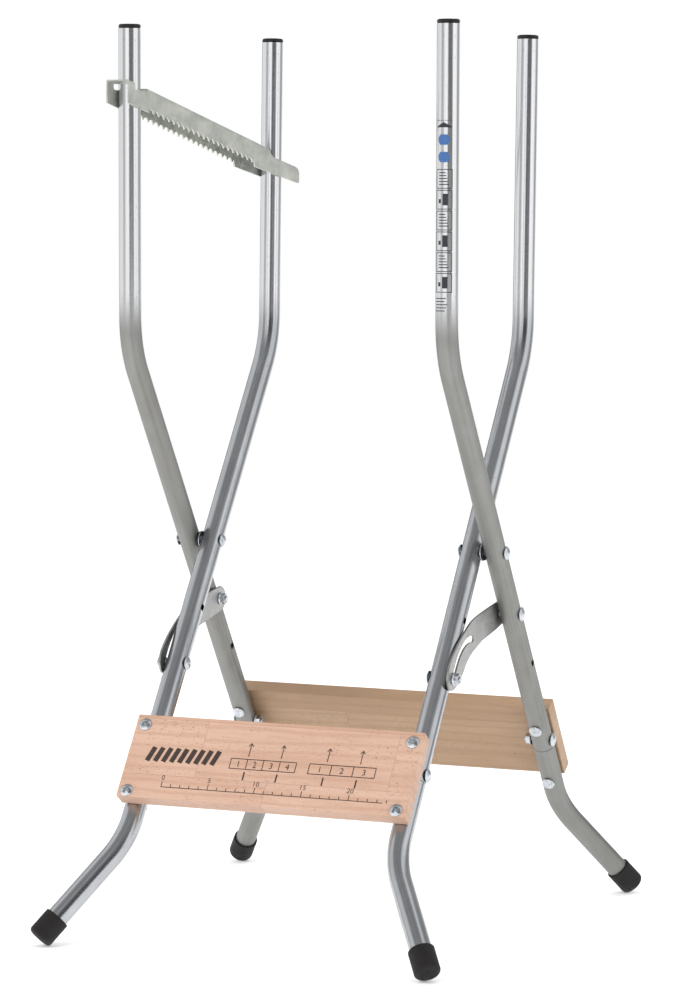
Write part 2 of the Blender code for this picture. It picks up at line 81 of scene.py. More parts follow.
# the pivot is where the rivets are
rivetLow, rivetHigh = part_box("pivot_rivet_left")
pivotHeight = (rivetLow.z + rivetHigh.z) / 2
pivotPoint = np.array([0.0, 0.0, pivotHeight])

frames = {
    "inner": {"x": tube["innerX"], "prongs": 1, "holeForBrace": spots["lowerHole"], "board": "front"},
    "outer": {"x": tube["outerX"], "prongs": -1, "holeForBrace": spots["upperHole"], "board": "rear"},
}
sides = {"left": -1, "right": 1}


def unit(v):
    v = np.asarray(v, float)
    return v / np.linalg.norm(v, axis=-1, keepdims=True)


def slantUp(kind):
    s = frames[kind]["prongs"] * math.sin(tube["slant"])
    return np.array([0.0, s, math.cos(tube["slant"])])


def slantOut(kind):
    # away from the object, square to the slanted stretch: the way the board's face looks
    s = -frames[kind]["prongs"] * math.cos(tube["slant"])
    return np.array([0.0, s, math.sin(tube["slant"])])


def onLeg(kind, sign, along, outwards=0.0, sideways=0.0):
    # a point by its place along the slanted stretch, off towards the board side, and off along X
    base = pivotPoint + np.array([sign * frames[kind]["x"] + sideways, 0.0, 0.0])
    return base + slantUp(kind) * along + slantOut(kind) * outwards


def prongAxis(kind):
    return np.array([0.0, frames[kind]["prongs"] * math.sin(tube["prongLean"]), math.cos(tube["prongLean"])])


def footAxis(kind, sign):
    return unit([sign * math.tan(tube["splayX"]), -frames[kind]["prongs"] * math.tan(tube["splayY"]), -1.0])


def placeAt(origin, zAxis, xHint=(0.0, 0.0, 1.0)):
    # 4x4 with its Z along zAxis and its X as near as can be to xHint
    z = unit(zAxis)
    x = np.asarray(xHint, float)
    x = x - z * (x @ z)
    if np.linalg.norm(x) < 0.01:
        x = np.array([1.0, 0.0, 0.0]) - z * z[0]
    x = unit(x)
    m = np.eye(4)
    m[:3, 0], m[:3, 1], m[:3, 2], m[:3, 3] = x, np.cross(z, x), z, origin
    return m


def moved(points, m):
    return points @ m[:3, :3].T + m[:3, 3]


def runLength(points):
    # how far along the line each point lies
    return np.concatenate([[0], np.cumsum(np.linalg.norm(np.diff(points, axis=0), axis=1))])


def smoothStep(x):
    x = np.clip(x, 0.0, 1.0)
    return x * x * (3 - 2 * x)


weldAt = 0.002 * mm


def surface(name, grid, uv=None):
    # quads between neighbouring points of a rows x columns grid; repeated points are merged,
    # which closes seams and poles, and the faces are turned outwards by the sign of the volume
    rows, columns = grid.shape[:2]
    index = np.arange(rows * columns).reshape(rows, columns)
    quads = np.stack([index[:-1, :-1], index[:-1, 1:], index[1:, 1:], index[1:, :-1]], -1)
    quads = quads.reshape(-1, 4)
    points = grid.reshape(-1, 3)
    a, b, c, d = (points[quads[:, i]] for i in range(4))
    volume = (a * (np.cross(b, c) + np.cross(c, d))).sum()
    if volume < 0:
        quads = quads[:, ::-1]
    mesh = bpy.data.meshes.new(name)
    mesh.vertices.add(len(points))
    mesh.vertices.foreach_set("co", points.astype(np.float32).ravel())
    mesh.loops.add(quads.size)
    mesh.loops.foreach_set("vertex_index", quads.astype(np.int32).ravel())
    mesh.polygons.add(len(quads))
    mesh.polygons.foreach_set("loop_start", np.arange(0, quads.size, 4, dtype=np.int32))
    mesh.update(calc_edges=True)
    if uv is not None:
        layer = mesh.uv_layers.new(name="UVMap")
        corners = uv.reshape(-1, 2)[quads.ravel()]
        layer.data.foreach_set("uv", corners.astype(np.float32).ravel())
    work = bmesh.new()
    work.from_mesh(mesh)
    bmesh.ops.remove_doubles(work, verts=work.verts, dist=weldAt)
    bmesh.ops.dissolve_degenerate(work, edges=work.edges, dist=weldAt)
    work.to_mesh(mesh)
    work.free()
    return mesh


def joinMeshes(name, meshes):
    work = bmesh.new()
    for mesh in meshes:
        work.from_mesh(mesh)
    joined = bpy.data.meshes.new(name)
    work.to_mesh(joined)
    work.free()
    return joined


def addObject(name, data):
    obj = bpy.data.objects.new(name, data)
    bpy.context.scene.collection.objects.link(obj)
    return obj


def evaluatedMesh(obj):
    graph = bpy.context.evaluated_depsgraph_get()
    return bpy.data.meshes.new_from_object(obj.evaluated_get(graph))


def curveMesh(curve):
    obj = addObject(curve.name, curve)
    mesh = evaluatedMesh(obj)
    bpy.data.objects.remove(obj, do_unlink=True)
    return mesh


def cutMesh(mesh, cutter, operation="DIFFERENCE"):
    # the mesh with the cutter taken away or added, as new mesh data
    body = addObject("body", mesh)
    tool = addObject("tool", cutter)
    change = body.modifiers.new("cut", "BOOLEAN")
    change.operation = operation
    change.solver = "EXACT"
    change.object = tool
    made = evaluatedMesh(body)
    for obj in (body, tool):
        bpy.data.objects.remove(obj, do_unlink=True)
    return made


def addPiece(name, mesh, material, body, stands=(), sharp=35.0):
    # one finished piece at the origin, riding on its body in place of its plain CAD nodes
    mesh.name = name
    mesh.materials.clear()
    mesh.materials.append(material)
    mesh.shade_smooth()
    mesh.set_sharp_from_angle(angle=math.radians(sharp))
    obj = addObject(name, mesh)
    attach(obj, body)
    if stands:
        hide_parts(*stands)


def lathe(name, profile, place, columns=40):
    # the profile (radius, height) turned round the place's Z; UV is arc length round and along
    profile = np.asarray(profile, float)
    angle = np.linspace(0, 2 * math.pi, columns + 1)
    r, z = profile[:, 0][:, None], profile[:, 1][:, None]
    grid = np.stack([r * np.cos(angle), r * np.sin(angle), z + 0 * angle], -1)
    uv = np.stack(np.broadcast_arrays(angle * profile[:, 0].max(), runLength(profile)[:, None]), -1)
    return surface(name, moved(grid, place), uv)


def arcPoints(cx, cy, radius, start, end, steps):
    a = np.linspace(start, end, steps + 1)
    return np.stack([cx + radius * np.cos(a), cy + radius * np.sin(a)], -1)


def prism(name, outline, low, high, place):
    # a closed outline in the place's X and Y, drawn up its Z; each end closes on its middle
    ring = np.vstack([outline, outline[:1]])
    middle = np.repeat(np.mean(outline, axis=0)[None], len(ring), axis=0)
    levels = ((middle, low), (ring, low), (ring, high), (middle, high))
    rows = [np.column_stack([points, np.full(len(ring), z)]) for points, z in levels]
    return surface(name, moved(np.array(rows), place))


def roundBar(name, radius, low, high, place, columns=32):
    return lathe(name, [(0, low), (radius, low), (radius, high), (0, high)], place, columns)


def setInputs(made, values):
    for key, value in values.items():
        made.inputs[key].default_value = value


def newMaterial(name, colour, roughness, metallic=0.0):
    material = bpy.data.materials.new(name)
    material.use_nodes = True
    shader = material.node_tree.nodes["Principled BSDF"]
    setInputs(shader, {"Base Color": (*colour, 1), "Roughness": roughness, "Metallic": metallic})
    return material, material.node_tree, shader


def node(tree, kind, **settings):
    made = tree.nodes.new(kind)
    for key, value in settings.items():
        setattr(made, key, value)
    return made


def feed(tree, value, socket):
    # another node's output is linked, a plain value is set on the socket
    if isinstance(value, bpy.types.NodeSocket):
        tree.links.new(value, socket)
    else:
        socket.default_value = value


def mapped(tree, vector, scale, turn=(0, 0, 0), shift=(0, 0, 0)):
    mapping = node(tree, "ShaderNodeMapping")
    setInputs(mapping, {"Scale": scale, "Rotation": turn, "Location": shift})
    tree.links.new(vector, mapping.inputs["Vector"])
    return mapping.outputs["Vector"]


def coords(tree, output, scale=(1, 1, 1), turn=(0, 0, 0), shift=(0, 0, 0)):
    source = node(tree, "ShaderNodeTexCoord")
    return mapped(tree, source.outputs[output], scale, turn, shift)


def axes(tree, vector):
    split = node(tree, "ShaderNodeSeparateXYZ")
    tree.links.new(vector, split.inputs[0])
    return split.outputs


def noise(tree, vector, detail, rough, distortion=0.0):
    # the scale is in the vector already
    made = node(tree, "ShaderNodeTexNoise")
    setInputs(made, {"Scale": 1, "Detail": detail, "Roughness": rough, "Distortion": distortion})
    tree.links.new(vector, made.inputs["Vector"])
    return made.outputs["Fac"]


def evenNoise(tree, scale, detail, rough, distortion=0.0):
    return noise(tree, coords(tree, "Object", (scale, scale, scale)), detail, rough, distortion)


def ramp(tree, value, *stops):
    # stops are pairs of position and grey
    made = node(tree, "ShaderNodeValToRGB")
    bar = made.color_ramp
    while len(bar.elements) < len(stops):
        bar.elements.new(0.5)
    for element, (position, grey) in zip(bar.elements, stops):
        element.position = position
        element.color = (grey, grey, grey, 1)
    tree.links.new(value, made.inputs["Fac"])
    return made.outputs["Color"]


def rangeOf(tree, value, fromLow, fromHigh, toLow, toHigh, smooth=False):
    made = node(tree, "ShaderNodeMapRange")
    made.interpolation_type = "SMOOTHSTEP" if smooth else "LINEAR"
    setInputs(made, {"From Min": fromLow, "From Max": fromHigh, "To Min": toLow, "To Max": toHigh})
    tree.links.new(value, made.inputs["Value"])
    return made.outputs["Result"]


def blendColours(tree, factor, a, b, mode="MIX"):
    made = node(tree, "ShaderNodeMix", data_type="RGBA", blend_type=mode)
    for value, key in ((factor, 0), (a, 6), (b, 7)):
        feed(tree, (*value, 1) if isinstance(value, tuple) else value, made.inputs[key])
    return made.outputs[2]


def tinge(tree, colour, value, low, high, amount, other, smooth=False):
    # the colour goes over to the other, by up to the amount, as the value rises from low to high
    return blendColours(tree, rangeOf(tree, value, low, high, 0, amount, smooth), colour, other)


def sums(tree, operation, a, b):
    made = node(tree, "ShaderNodeMath", operation=operation)
    feed(tree, a, made.inputs[0])
    feed(tree, b, made.inputs[1])
    return made.outputs[0]


def weighted(tree, a, b, shareA, shareB):
    return sums(tree, "ADD", sums(tree, "MULTIPLY", a, shareA), sums(tree, "MULTIPLY", b, shareB))


def bump(tree, shader, height, distance, strength):
    made = node(tree, "ShaderNodeBump")
    setInputs(made, {"Distance": distance, "Strength": strength})
    tree.links.new(height, made.inputs["Height"])
    tree.links.new(made.outputs["Normal"], shader.inputs["Normal"])


def surfaceFrom(tree, shader, colour, value, low, high, rough):
    # the colour, and a roughness that runs between two values as the pattern does
    tree.links.new(colour, shader.inputs["Base Color"])
    tree.links.new(rangeOf(tree, value, low, high, *rough), shader.inputs["Roughness"])


# each frame's tint darkens the slanted stretch below the bend as painted shade, and the paler zinc lightens
# the uprights above it as painted light
tubeFinish = {
    "inner": {"light": (0.60, 0.61, 0.625), "dark": (0.42, 0.43, 0.445),
              "paintedShadeTint": (0.80, 0.81, 0.825), "mattRough": (0.15, 0.26)},
    "outer": {"light": (0.60, 0.60, 0.59), "dark": (0.40, 0.40, 0.39),
              "paintedShadeTint": (0.52, 0.52, 0.505), "mattRough": (0.46, 0.62)},
    "brightRough": (0.12, 0.22),
    "paintedLightZinc": (0.74, 0.75, 0.77),
    "cloudZinc": (0.70, 0.71, 0.72),
    # painted shade for fine pits
    "pitShade": (0.2, 0.2, 0.21),
    "shadeAndMattFrom": 0.645,  # heights of the bend: above it the tube is glossier and painted lighter, below it matter and darkened by painted shade
    "shadeAndMattTo": 0.595,
}


def galvanisedTube(kind):
    # drawn lines run along the tube, soft clouds of zinc lie over them, and fine pits are painted dark as
    # the shade in them
    look = tubeFinish[kind]
    material, tree, shader = newMaterial(f"galvanised{kind.title()}Tube", look["light"], 0.3, 1.0)
    fine = noise(tree, coords(tree, "UV", (620, 5, 1)), 5, 0.62)
    wide = noise(tree, coords(tree, "UV", (150, 2.2, 1), shift=(3.1, 0.7, 0)), 3, 0.5)
    cloud = noise(tree, coords(tree, "Object", (38, 38, 14)), 3, 0.55, 0.4)
    pits = noise(tree, coords(tree, "UV", (420, 190, 1), shift=(9, 4, 0)), 2, 0.5)
    height = axes(tree, coords(tree, "Object"))[2]
    # mask for below the bend: it makes the tube matter there and carries the painted shade in its colour
    mattAndShade = rangeOf(tree, height, tubeFinish["shadeAndMattFrom"], tubeFinish["shadeAndMattTo"], 0, 1, True)
    streak = sums(tree, "MULTIPLY", sums(tree, "ADD", fine, wide), 0.5)
    colour = tinge(tree, look["dark"], streak, 0.36, 0.62, 1, look["light"])
    colour = tinge(tree, colour, cloud, 0.35, 0.7, 0.35, tubeFinish["cloudZinc"])
    # painted shade: below the bend the colour is darkened by the frame's tint; painted light: above it the
    # colour is drawn towards a paler zinc
    shadedColour = blendColours(tree, 1.0, colour, look["paintedShadeTint"], "MULTIPLY")
    litColour = blendColours(tree, 0.75, colour, tubeFinish["paintedLightZinc"])
    colour = blendColours(tree, mattAndShade, litColour, shadedColour)
    # painted shade: fine pits get a dark colour, with no dent made, to stand for the shade in them
    colour = tinge(tree, colour, pits, 0.68, 0.78, 0.55, tubeFinish["pitShade"])
    tree.links.new(colour, shader.inputs["Base Color"])
    mixed = node(tree, "ShaderNodeMix", data_type="FLOAT")
    feed(tree, mattAndShade, mixed.inputs[0])
    for key, rough in ((2, tubeFinish["brightRough"]), (3, look["mattRough"])):
        feed(tree, rangeOf(tree, streak, 0.35, 0.65, *rough), mixed.inputs[key])
    tree.links.new(mixed.outputs[0], shader.inputs["Roughness"])
    bump(tree, shader, weighted(tree, fine, cloud, 1, 0.6), 0.06 * mm, 0.5)
    return material


metalFinish = {
    "fastener": {"light": (0.64, 0.67, 0.70), "dark": (0.44, 0.47, 0.51), "rough": (0.18, 0.34)},
    "rail": {"light": (0.64, 0.65, 0.60), "dark": (0.49, 0.51, 0.475), "rough": (0.42, 0.60)},
    "plate": {"light": (0.50, 0.50, 0.49), "dark": (0.33, 0.33, 0.33), "rough": (0.34, 0.5)},
}


def zincFastener():
    # blue-white plating with soft clouds and tiny pits
    look = metalFinish["fastener"]
    material, tree, shader = newMaterial("zincFastener", look["light"], 0.28, 1.0)
    cloud = evenNoise(tree, 240, 4, 0.6, 0.5)
    pits = evenNoise(tree, 1500, 2, 0.5)
    colour = tinge(tree, look["dark"], cloud, 0.38, 0.64, 1, look["light"])
    surfaceFrom(tree, shader, colour, cloud, 0.35, 0.65, look["rough"])
    bump(tree, shader, weighted(tree, pits, cloud, 1, 2), 0.04 * mm, 0.6)
    return material


def dullZinc():
    # rolled sheet, passivated: pale green-grey with faint crystals and rolling lines along it
    look = metalFinish["rail"]
    material, tree, shader = newMaterial("dullZincSheet", look["light"], 0.5, 1.0)
    rolled = noise(tree, coords(tree, "Object", (500, 9, 420), turn=(0.21, 0, 0)), 4, 0.55)
    cloud = noise(tree, coords(tree, "Object", (45, 30, 60)), 3, 0.6, 0.6)
    crystal = node(tree, "ShaderNodeTexVoronoi", feature="F1")
    setInputs(crystal, {"Scale": 1, "Randomness": 1})
    tree.links.new(coords(tree, "Object", (160, 160, 160)), crystal.inputs["Vector"])
    facet = node(tree, "ShaderNodeSeparateColor")
    tree.links.new(crystal.outputs["Color"], facet.inputs[0])
    mixed = weighted(tree, cloud, facet.outputs[0], 0.75, 0.12)
    colour = tinge(tree, look["dark"], mixed, 0.3, 0.6, 1, look["light"])
    surfaceFrom(tree, shader, colour, mixed, 0.3, 0.6, look["rough"])
    bump(tree, shader, sums(tree, "ADD", rolled, facet.outputs[1]), 0.03 * mm, 0.4)
    return material


def pressedSteel():
    # flat pressed plate: satin, with faint rolling lines and handling marks
    look = metalFinish["plate"]
    material, tree, shader = newMaterial("pressedSteelPlate", look["light"], 0.4, 1.0)
    rolled = noise(tree, coords(tree, "Object", (400, 22, 480), turn=(-0.4, 0, 0)), 5, 0.6)
    marks = evenNoise(tree, 60, 3, 0.6, 0.8)
    mixed = weighted(tree, rolled, marks, 0.45, 0.55)
    colour = tinge(tree, look["dark"], mixed, 0.36, 0.64, 1, look["light"])
    surfaceFrom(tree, shader, colour, mixed, 0.36, 0.64, look["rough"])
    bump(tree, shader, rolled, 0.03 * mm, 0.4)
    return material


blackFinish = {
    "plastic": {"base": (0.008, 0.008, 0.009), "dust": (0.035, 0.035, 0.036), "rough": (0.36, 0.52)},
    "rubber": {"base": (0.009, 0.008, 0.008), "dust": (0.022, 0.020, 0.019), "rough": (0.55, 0.78)},
    "scuffed": (0.06, 0.058, 0.055),
    "scuffHeight": 12 * mm,
    "specular": 0.3,
}


def blackPlastic():
    # moulded, half gloss, with a faint eroded grain and a little dust
    look = blackFinish["plastic"]
    material, tree, shader = newMaterial("blackPlastic", (0.018, 0.018, 0.02), 0.42)
    setInputs(shader, {"Specular IOR Level": blackFinish["specular"]})
    grain = evenNoise(tree, 1400, 2, 0.5)
    dust = evenNoise(tree, 110, 4, 0.6)
    colour = tinge(tree, look["base"], dust, 0.5, 0.8, 0.3, look["dust"])
    surfaceFrom(tree, shader, colour, dust, 0.3, 0.7, look["rough"])
    bump(tree, shader, grain, 0.05 * mm, 0.5)
    return material


def blackRubber():
    # soft dull rubber: fine grain, greyer where it is scuffed near the floor
    look = blackFinish["rubber"]
    material, tree, shader = newMaterial("blackRubber", (0.022, 0.021, 0.021), 0.7)
    setInputs(shader, {"Specular IOR Level": blackFinish["specular"]})
    grain = evenNoise(tree, 1100, 3, 0.6)
    scuff = noise(tree, coords(tree, "Object", (180, 180, 320)), 5, 0.65, 0.6)
    height = axes(tree, coords(tree, "Object"))[2]
    low = rangeOf(tree, height, blackFinish["scuffHeight"], 0.0, 0, 1, True)
    worn = sums(tree, "MULTIPLY", rangeOf(tree, scuff, 0.42, 0.62, 0.1, 1), low)
    colour = tinge(tree, look["base"], scuff, 0.4, 0.7, 0.5, look["dust"])
    colour = blendColours(tree, worn, colour, blackFinish["scuffed"])
    surfaceFrom(tree, shader, colour, scuff, 0.3, 0.7, look["rough"])
    bump(tree, shader, grain, 0.08 * mm, 0.6)
    return material


woodFinish = {
    "front": {
        "tilt": 35.0, "staveWidth": 0.062, "staveLength": 0.205, "shift": (0.075, 0.034, 0.0),
        "staves": ((0.545, 0.36, 0.27), (0.475, 0.28, 0.195)),
        "grain": (0.39, 0.215, 0.14), "fleck": (0.17, 0.085, 0.055), "fleckAt": 0.655,
    },
    "rear": {
        "tilt": -35.0, "staveWidth": 0.046, "staveLength": 0.24, "shift": (0.055, 0.02, 0.0),
        "staves": ((0.40, 0.265, 0.165), (0.345, 0.22, 0.13)),
        "grain": (0.27, 0.165, 0.09), "fleck": (0.10, 0.055, 0.03), "fleckAt": 0.67,
    },
    "glueLine": 0.22 * mm,
}


def gluedStaves(tree, turned, look):
    # rows of staves laid like bricks over the board's face: white and black, with grey glue lines
    across = axes(tree, turned)
    flat = node(tree, "ShaderNodeCombineXYZ")
    tree.links.new(across[0], flat.inputs[0])
    tree.links.new(across[2], flat.inputs[1])
    shifted = node(tree, "ShaderNodeVectorMath", operation="ADD")
    shifted.inputs[1].default_value = look["shift"]
    tree.links.new(flat.outputs[0], shifted.inputs[0])
    stave = node(tree, "ShaderNodeTexBrick", offset=0.62, squash=1.0)
    setInputs(stave, {"Scale": 1, "Mortar Size": woodFinish["glueLine"], "Mortar Smooth": 0.3,
                      "Brick Width": look["staveLength"], "Row Height": look["staveWidth"],
                      "Color1": (1, 1, 1, 1), "Color2": (0, 0, 0, 1), "Mortar": (0.5, 0.5, 0.5, 1)})
    tree.links.new(shifted.outputs[0], stave.inputs["Vector"])
    return stave


def laminatedBeech(which):
    # staves glued side by side: flames of grain along each, short dark flecks, thin glue lines
    look = woodFinish[which]
    grain = look["grain"]
    material, tree, shader = newMaterial(f"{which}Beech", look["staves"][0], 0.5)
    # turned so that X runs along the board, Y through its thickness and Z up its face
    turned = coords(tree, "Object", turn=(math.radians(look["tilt"]), 0, 0))
    stave = gluedStaves(tree, turned, look)
    # each stave reads the grain from another place in the tree
    jump = node(tree, "ShaderNodeVectorMath", operation="SCALE")
    jump.inputs["Scale"].default_value = 1.7
    tree.links.new(stave.outputs["Color"], jump.inputs[0])
    place = node(tree, "ShaderNodeVectorMath", operation="ADD")
    tree.links.new(turned, place.inputs[0])
    tree.links.new(jump.outputs[0], place.inputs[1])
    place = place.outputs[0]

    flame = node(tree, "ShaderNodeTexWave", wave_type="BANDS", bands_direction="Z")
    setInputs(flame, {"Scale": 1, "Distortion": 7, "Detail": 3, "Detail Scale": 0.9})
    tree.links.new(mapped(tree, place, (4, 18, 26)), flame.inputs["Vector"])
    pores = noise(tree, mapped(tree, place, (55, 500, 620)), 4, 0.6)
    tone = noise(tree, mapped(tree, place, (7, 22, 30)), 3, 0.5, 0.5)
    flecks = noise(tree, mapped(tree, place, (330, 1050, 1050)), 1.5, 0.4)
    blot = noise(tree, mapped(tree, place, (16, 40, 40)), 2, 0.5)
    colour = blendColours(tree, stave.outputs["Color"], look["staves"][1], look["staves"][0])
    colour = tinge(tree, colour, flame.outputs["Fac"], 0.55, 1.0, 0.34, grain, True)
    colour = tinge(tree, colour, tone, 0.42, 0.72, 0.45, grain)
    colour = tinge(tree, colour, pores, 0.52, 0.75, 0.4, grain)
    dark = rangeOf(tree, flecks, look["fleckAt"], look["fleckAt"] + 0.05, 0, 0.85)
    dark = sums(tree, "MULTIPLY", dark, rangeOf(tree, blot, 0.42, 0.56, 0.15, 1))
    colour = blendColours(tree, dark, colour, look["fleck"])
    glue = stave.outputs["Fac"]
    colour = blendColours(tree, sums(tree, "MULTIPLY", glue, 0.5), colour, look["fleck"])
    surfaceFrom(tree, shader, colour, tone, 0.3, 0.7, (0.42, 0.58))
    setInputs(shader, {"Coat Weight": 0.12, "Coat Roughness": 0.35})
    sunk = sums(tree, "ADD", dark, glue)
    bump(tree, shader, sums(tree, "SUBTRACT", pores, sunk), 0.12 * mm, 0.5)
    return material


def ink(name, colour):
    # stamped print: a little uneven, matt
    material, tree, shader = newMaterial(name, colour, 0.6)
    patchy = evenNoise(tree, 900, 3, 0.6)
    paler = tuple(min(1.0, c * 2.2 + 0.02) for c in colour)
    colour = tinge(tree, colour, patchy, 0.5, 0.8, 0.6, paler)
    surfaceFrom(tree, shader, colour, patchy, 0.3, 0.7, (0.5, 0.7))
    return material


finishes = {
    "inner": galvanisedTube("inner"),
    "outer": galvanisedTube("outer"),
    "fastener": zincFastener(),
    "rail": dullZinc(),
    "plate": pressedSteel(),
    "plastic": blackPlastic(),
    "rubber": blackRubber(),
    "frontWood": laminatedBeech("front"),
    "rearWood": laminatedBeech("rear"),
    "print": ink("stampedInk", (0.035, 0.022, 0.018)),
    "labelInk": ink("labelInk", (0.015, 0.016, 0.02)),
    "blueInk": ink("blueInk", (0.035, 0.10, 0.26)),
}
print("materials made:", len(finishes))


def straightRun(start, end, spacing, endpoint=False):
    steps = max(2, int(np.linalg.norm(end - start) / spacing))
    return np.linspace(start, end, steps, endpoint=endpoint)


def bentPath(corners, radius, spacing):
    # straight runs and circular arcs tangent to them, sampled at an even spacing
    corners = [np.asarray(c, float) for c in corners]
    parts = []
    start = corners[0]
    for before, corner, after in zip(corners, corners[1:], corners[2:]):
        back, ahead = unit(before - corner), unit(after - corner)
        half = math.acos(float(np.clip(back @ ahead, -1, 1))) / 2
        reach = radius / math.tan(half)
        centre = corner + unit(back + ahead) * radius / math.sin(half)
        first, last = corner + back * reach, corner + ahead * reach
        parts.append(straightRun(start, first, spacing))
        sweep = math.pi - 2 * half
        t = np.linspace(0, 1, max(6, int(sweep * radius / (spacing * 0.6))), endpoint=False)[:, None]
        a, b = unit(first - centre), unit(last - centre)
        turned = np.sin((1 - t) * sweep) * a + np.sin(t * sweep) * b
        parts.append(centre + radius * turned / math.sin(sweep))
        start = last
    parts.append(straightRun(start, corners[-1], spacing, True))
    return np.vstack(parts)


def hollowTube(name, path, radii, wall):
    # rings square to the path: the outer skin from end to end, a rim, and the inner skin back
    tangent = unit(np.gradient(path, axis=0))
    across = unit(np.array([1.0, 0.0, 0.0]) - tangent * tangent[:, :1])
    third = np.cross(tangent, across)
    run = runLength(path)
    angle = np.linspace(0, 2 * math.pi, tube["sides"] + 1)
    ease = tube["endEase"]

    def rings(which, size, shift=0.0):
        circle = across[which, None] * np.cos(angle)[:, None] + third[which, None] * np.sin(angle)[:, None]
        return path[which, None] + circle * size[..., None, None] + tangent[which, None] * shift

    every = np.arange(len(path))
    first, last = np.array([0]), np.array([-1])
    outer = rings(every[1:-1], radii[1:-1])
    inner = rings(every[1:-1], radii[1:-1] - wall)[::-1]
    grid = np.concatenate([
        rings(first, radii[:1] - ease), rings(first, radii[:1], ease), outer,
        rings(last, radii[-1:], -ease), rings(last, radii[-1:] - ease),
        rings(last, radii[-1:] - wall + ease), rings(last, radii[-1:] - wall, -ease), inner,
        rings(first, radii[:1] - wall, ease), rings(first, radii[:1] - wall + ease),
        rings(first, radii[:1] - ease),
    ])
    there = np.concatenate([[run[0], run[0]], run[1:-1], [run[-1]] * 4, run[1:-1][::-1], [run[0]] * 3])
    uv = np.stack(np.broadcast_arrays(angle * tube["radius"], there[:, None]), -1)
    return surface(name, grid, uv)


holeLook = {"play": 0.35 * mm, "rivet": 4 * mm, "bolt": 3 * mm, "screw": 2.6 * mm, "sleeve": 3.9 * mm,
            "squareHalf": 3.25 * mm, "squareCorner": 0.7 * mm}
quarters = ((1, 1), (-1, 1), (-1, -1), (1, -1))  # signs of a rectangle's corners, going round it


def legDrillings(kind, sign):
    # round holes for the rivet, joint bolt and board screws, and two square ones for the brace
    look = holeLook
    reach = tube["radius"] + 4 * mm
    tools = []
    for at, size in ((0.0, look["rivet"]), (spots["jointBolt"], look["bolt"])):
        place = placeAt(onLeg(kind, sign, at), (1, 0, 0))
        tools.append(roundBar("drill", size + look["play"], -reach, reach, place))
    for at in (spots["upperScrew"], spots["lowerScrew"]):
        place = placeAt(onLeg(kind, sign, at), slantOut(kind), (1, 0, 0))
        tools.append(roundBar("drill", look["screw"] + look["play"], 3 * mm, reach, place))
        tools.append(roundBar("drill", look["sleeve"] + look["play"], -reach, -3 * mm, place))
    corner = look["squareCorner"]
    inner = look["squareHalf"] - corner
    square = np.vstack([arcPoints(x * inner, y * inner, corner, k * math.pi / 2, (k + 1) * math.pi / 2, 4)
                        for k, (x, y) in enumerate(quarters)])
    for at in (spots["upperHole"], spots["lowerHole"]):
        place = placeAt(onLeg(kind, sign, at), (1, 0, 0), slantUp(kind))
        tools.append(prism("drill", square, -reach, reach, place))
    return joinMeshes("drillings", tools)


capLook = {"height": 4 * mm, "plug": 12 * mm, "edge": 2.0 * mm}
footLook = {"radius": 13.05 * mm, "height": 27.5 * mm, "floor": 4 * mm, "edge": 4 * mm, "grooves": 5}


def footProfile():
    # up the bore, over a rounded lip, down the outside, round the sole edge, across a ringed sole
    bore = tube["radius"] + 0.25 * mm
    r, h, e = footLook["radius"], footLook["height"], footLook["edge"]
    lip = 0.9 * mm
    floor = footLook["floor"]
    points = [(0.0, floor), (bore - 0.5 * mm, floor), (bore, floor + 0.5 * mm),
              (bore, h - lip), (bore + 0.25 * mm, h - 0.25 * mm)]
    points += arcPoints(r - lip, h - lip, lip, math.pi / 2, 0, 6).tolist()
    points += [(r, h - 3.0 * mm), (r - 0.02 * mm, h - 9 * mm), (r, e + 3 * mm)]
    points += arcPoints(r - e, e, e, 0, -math.pi / 2, 14).tolist()
    # rings moulded into the sole, all above its lowest line
    x = np.linspace(r - e - 0.3 * mm, 0.0, 44)
    sole = 0.45 * mm * (0.5 - 0.5 * np.cos((r - e - x) / (r - e) * footLook["grooves"] * 2 * math.pi))
    points += np.stack([x, sole], -1).tolist()
    return points


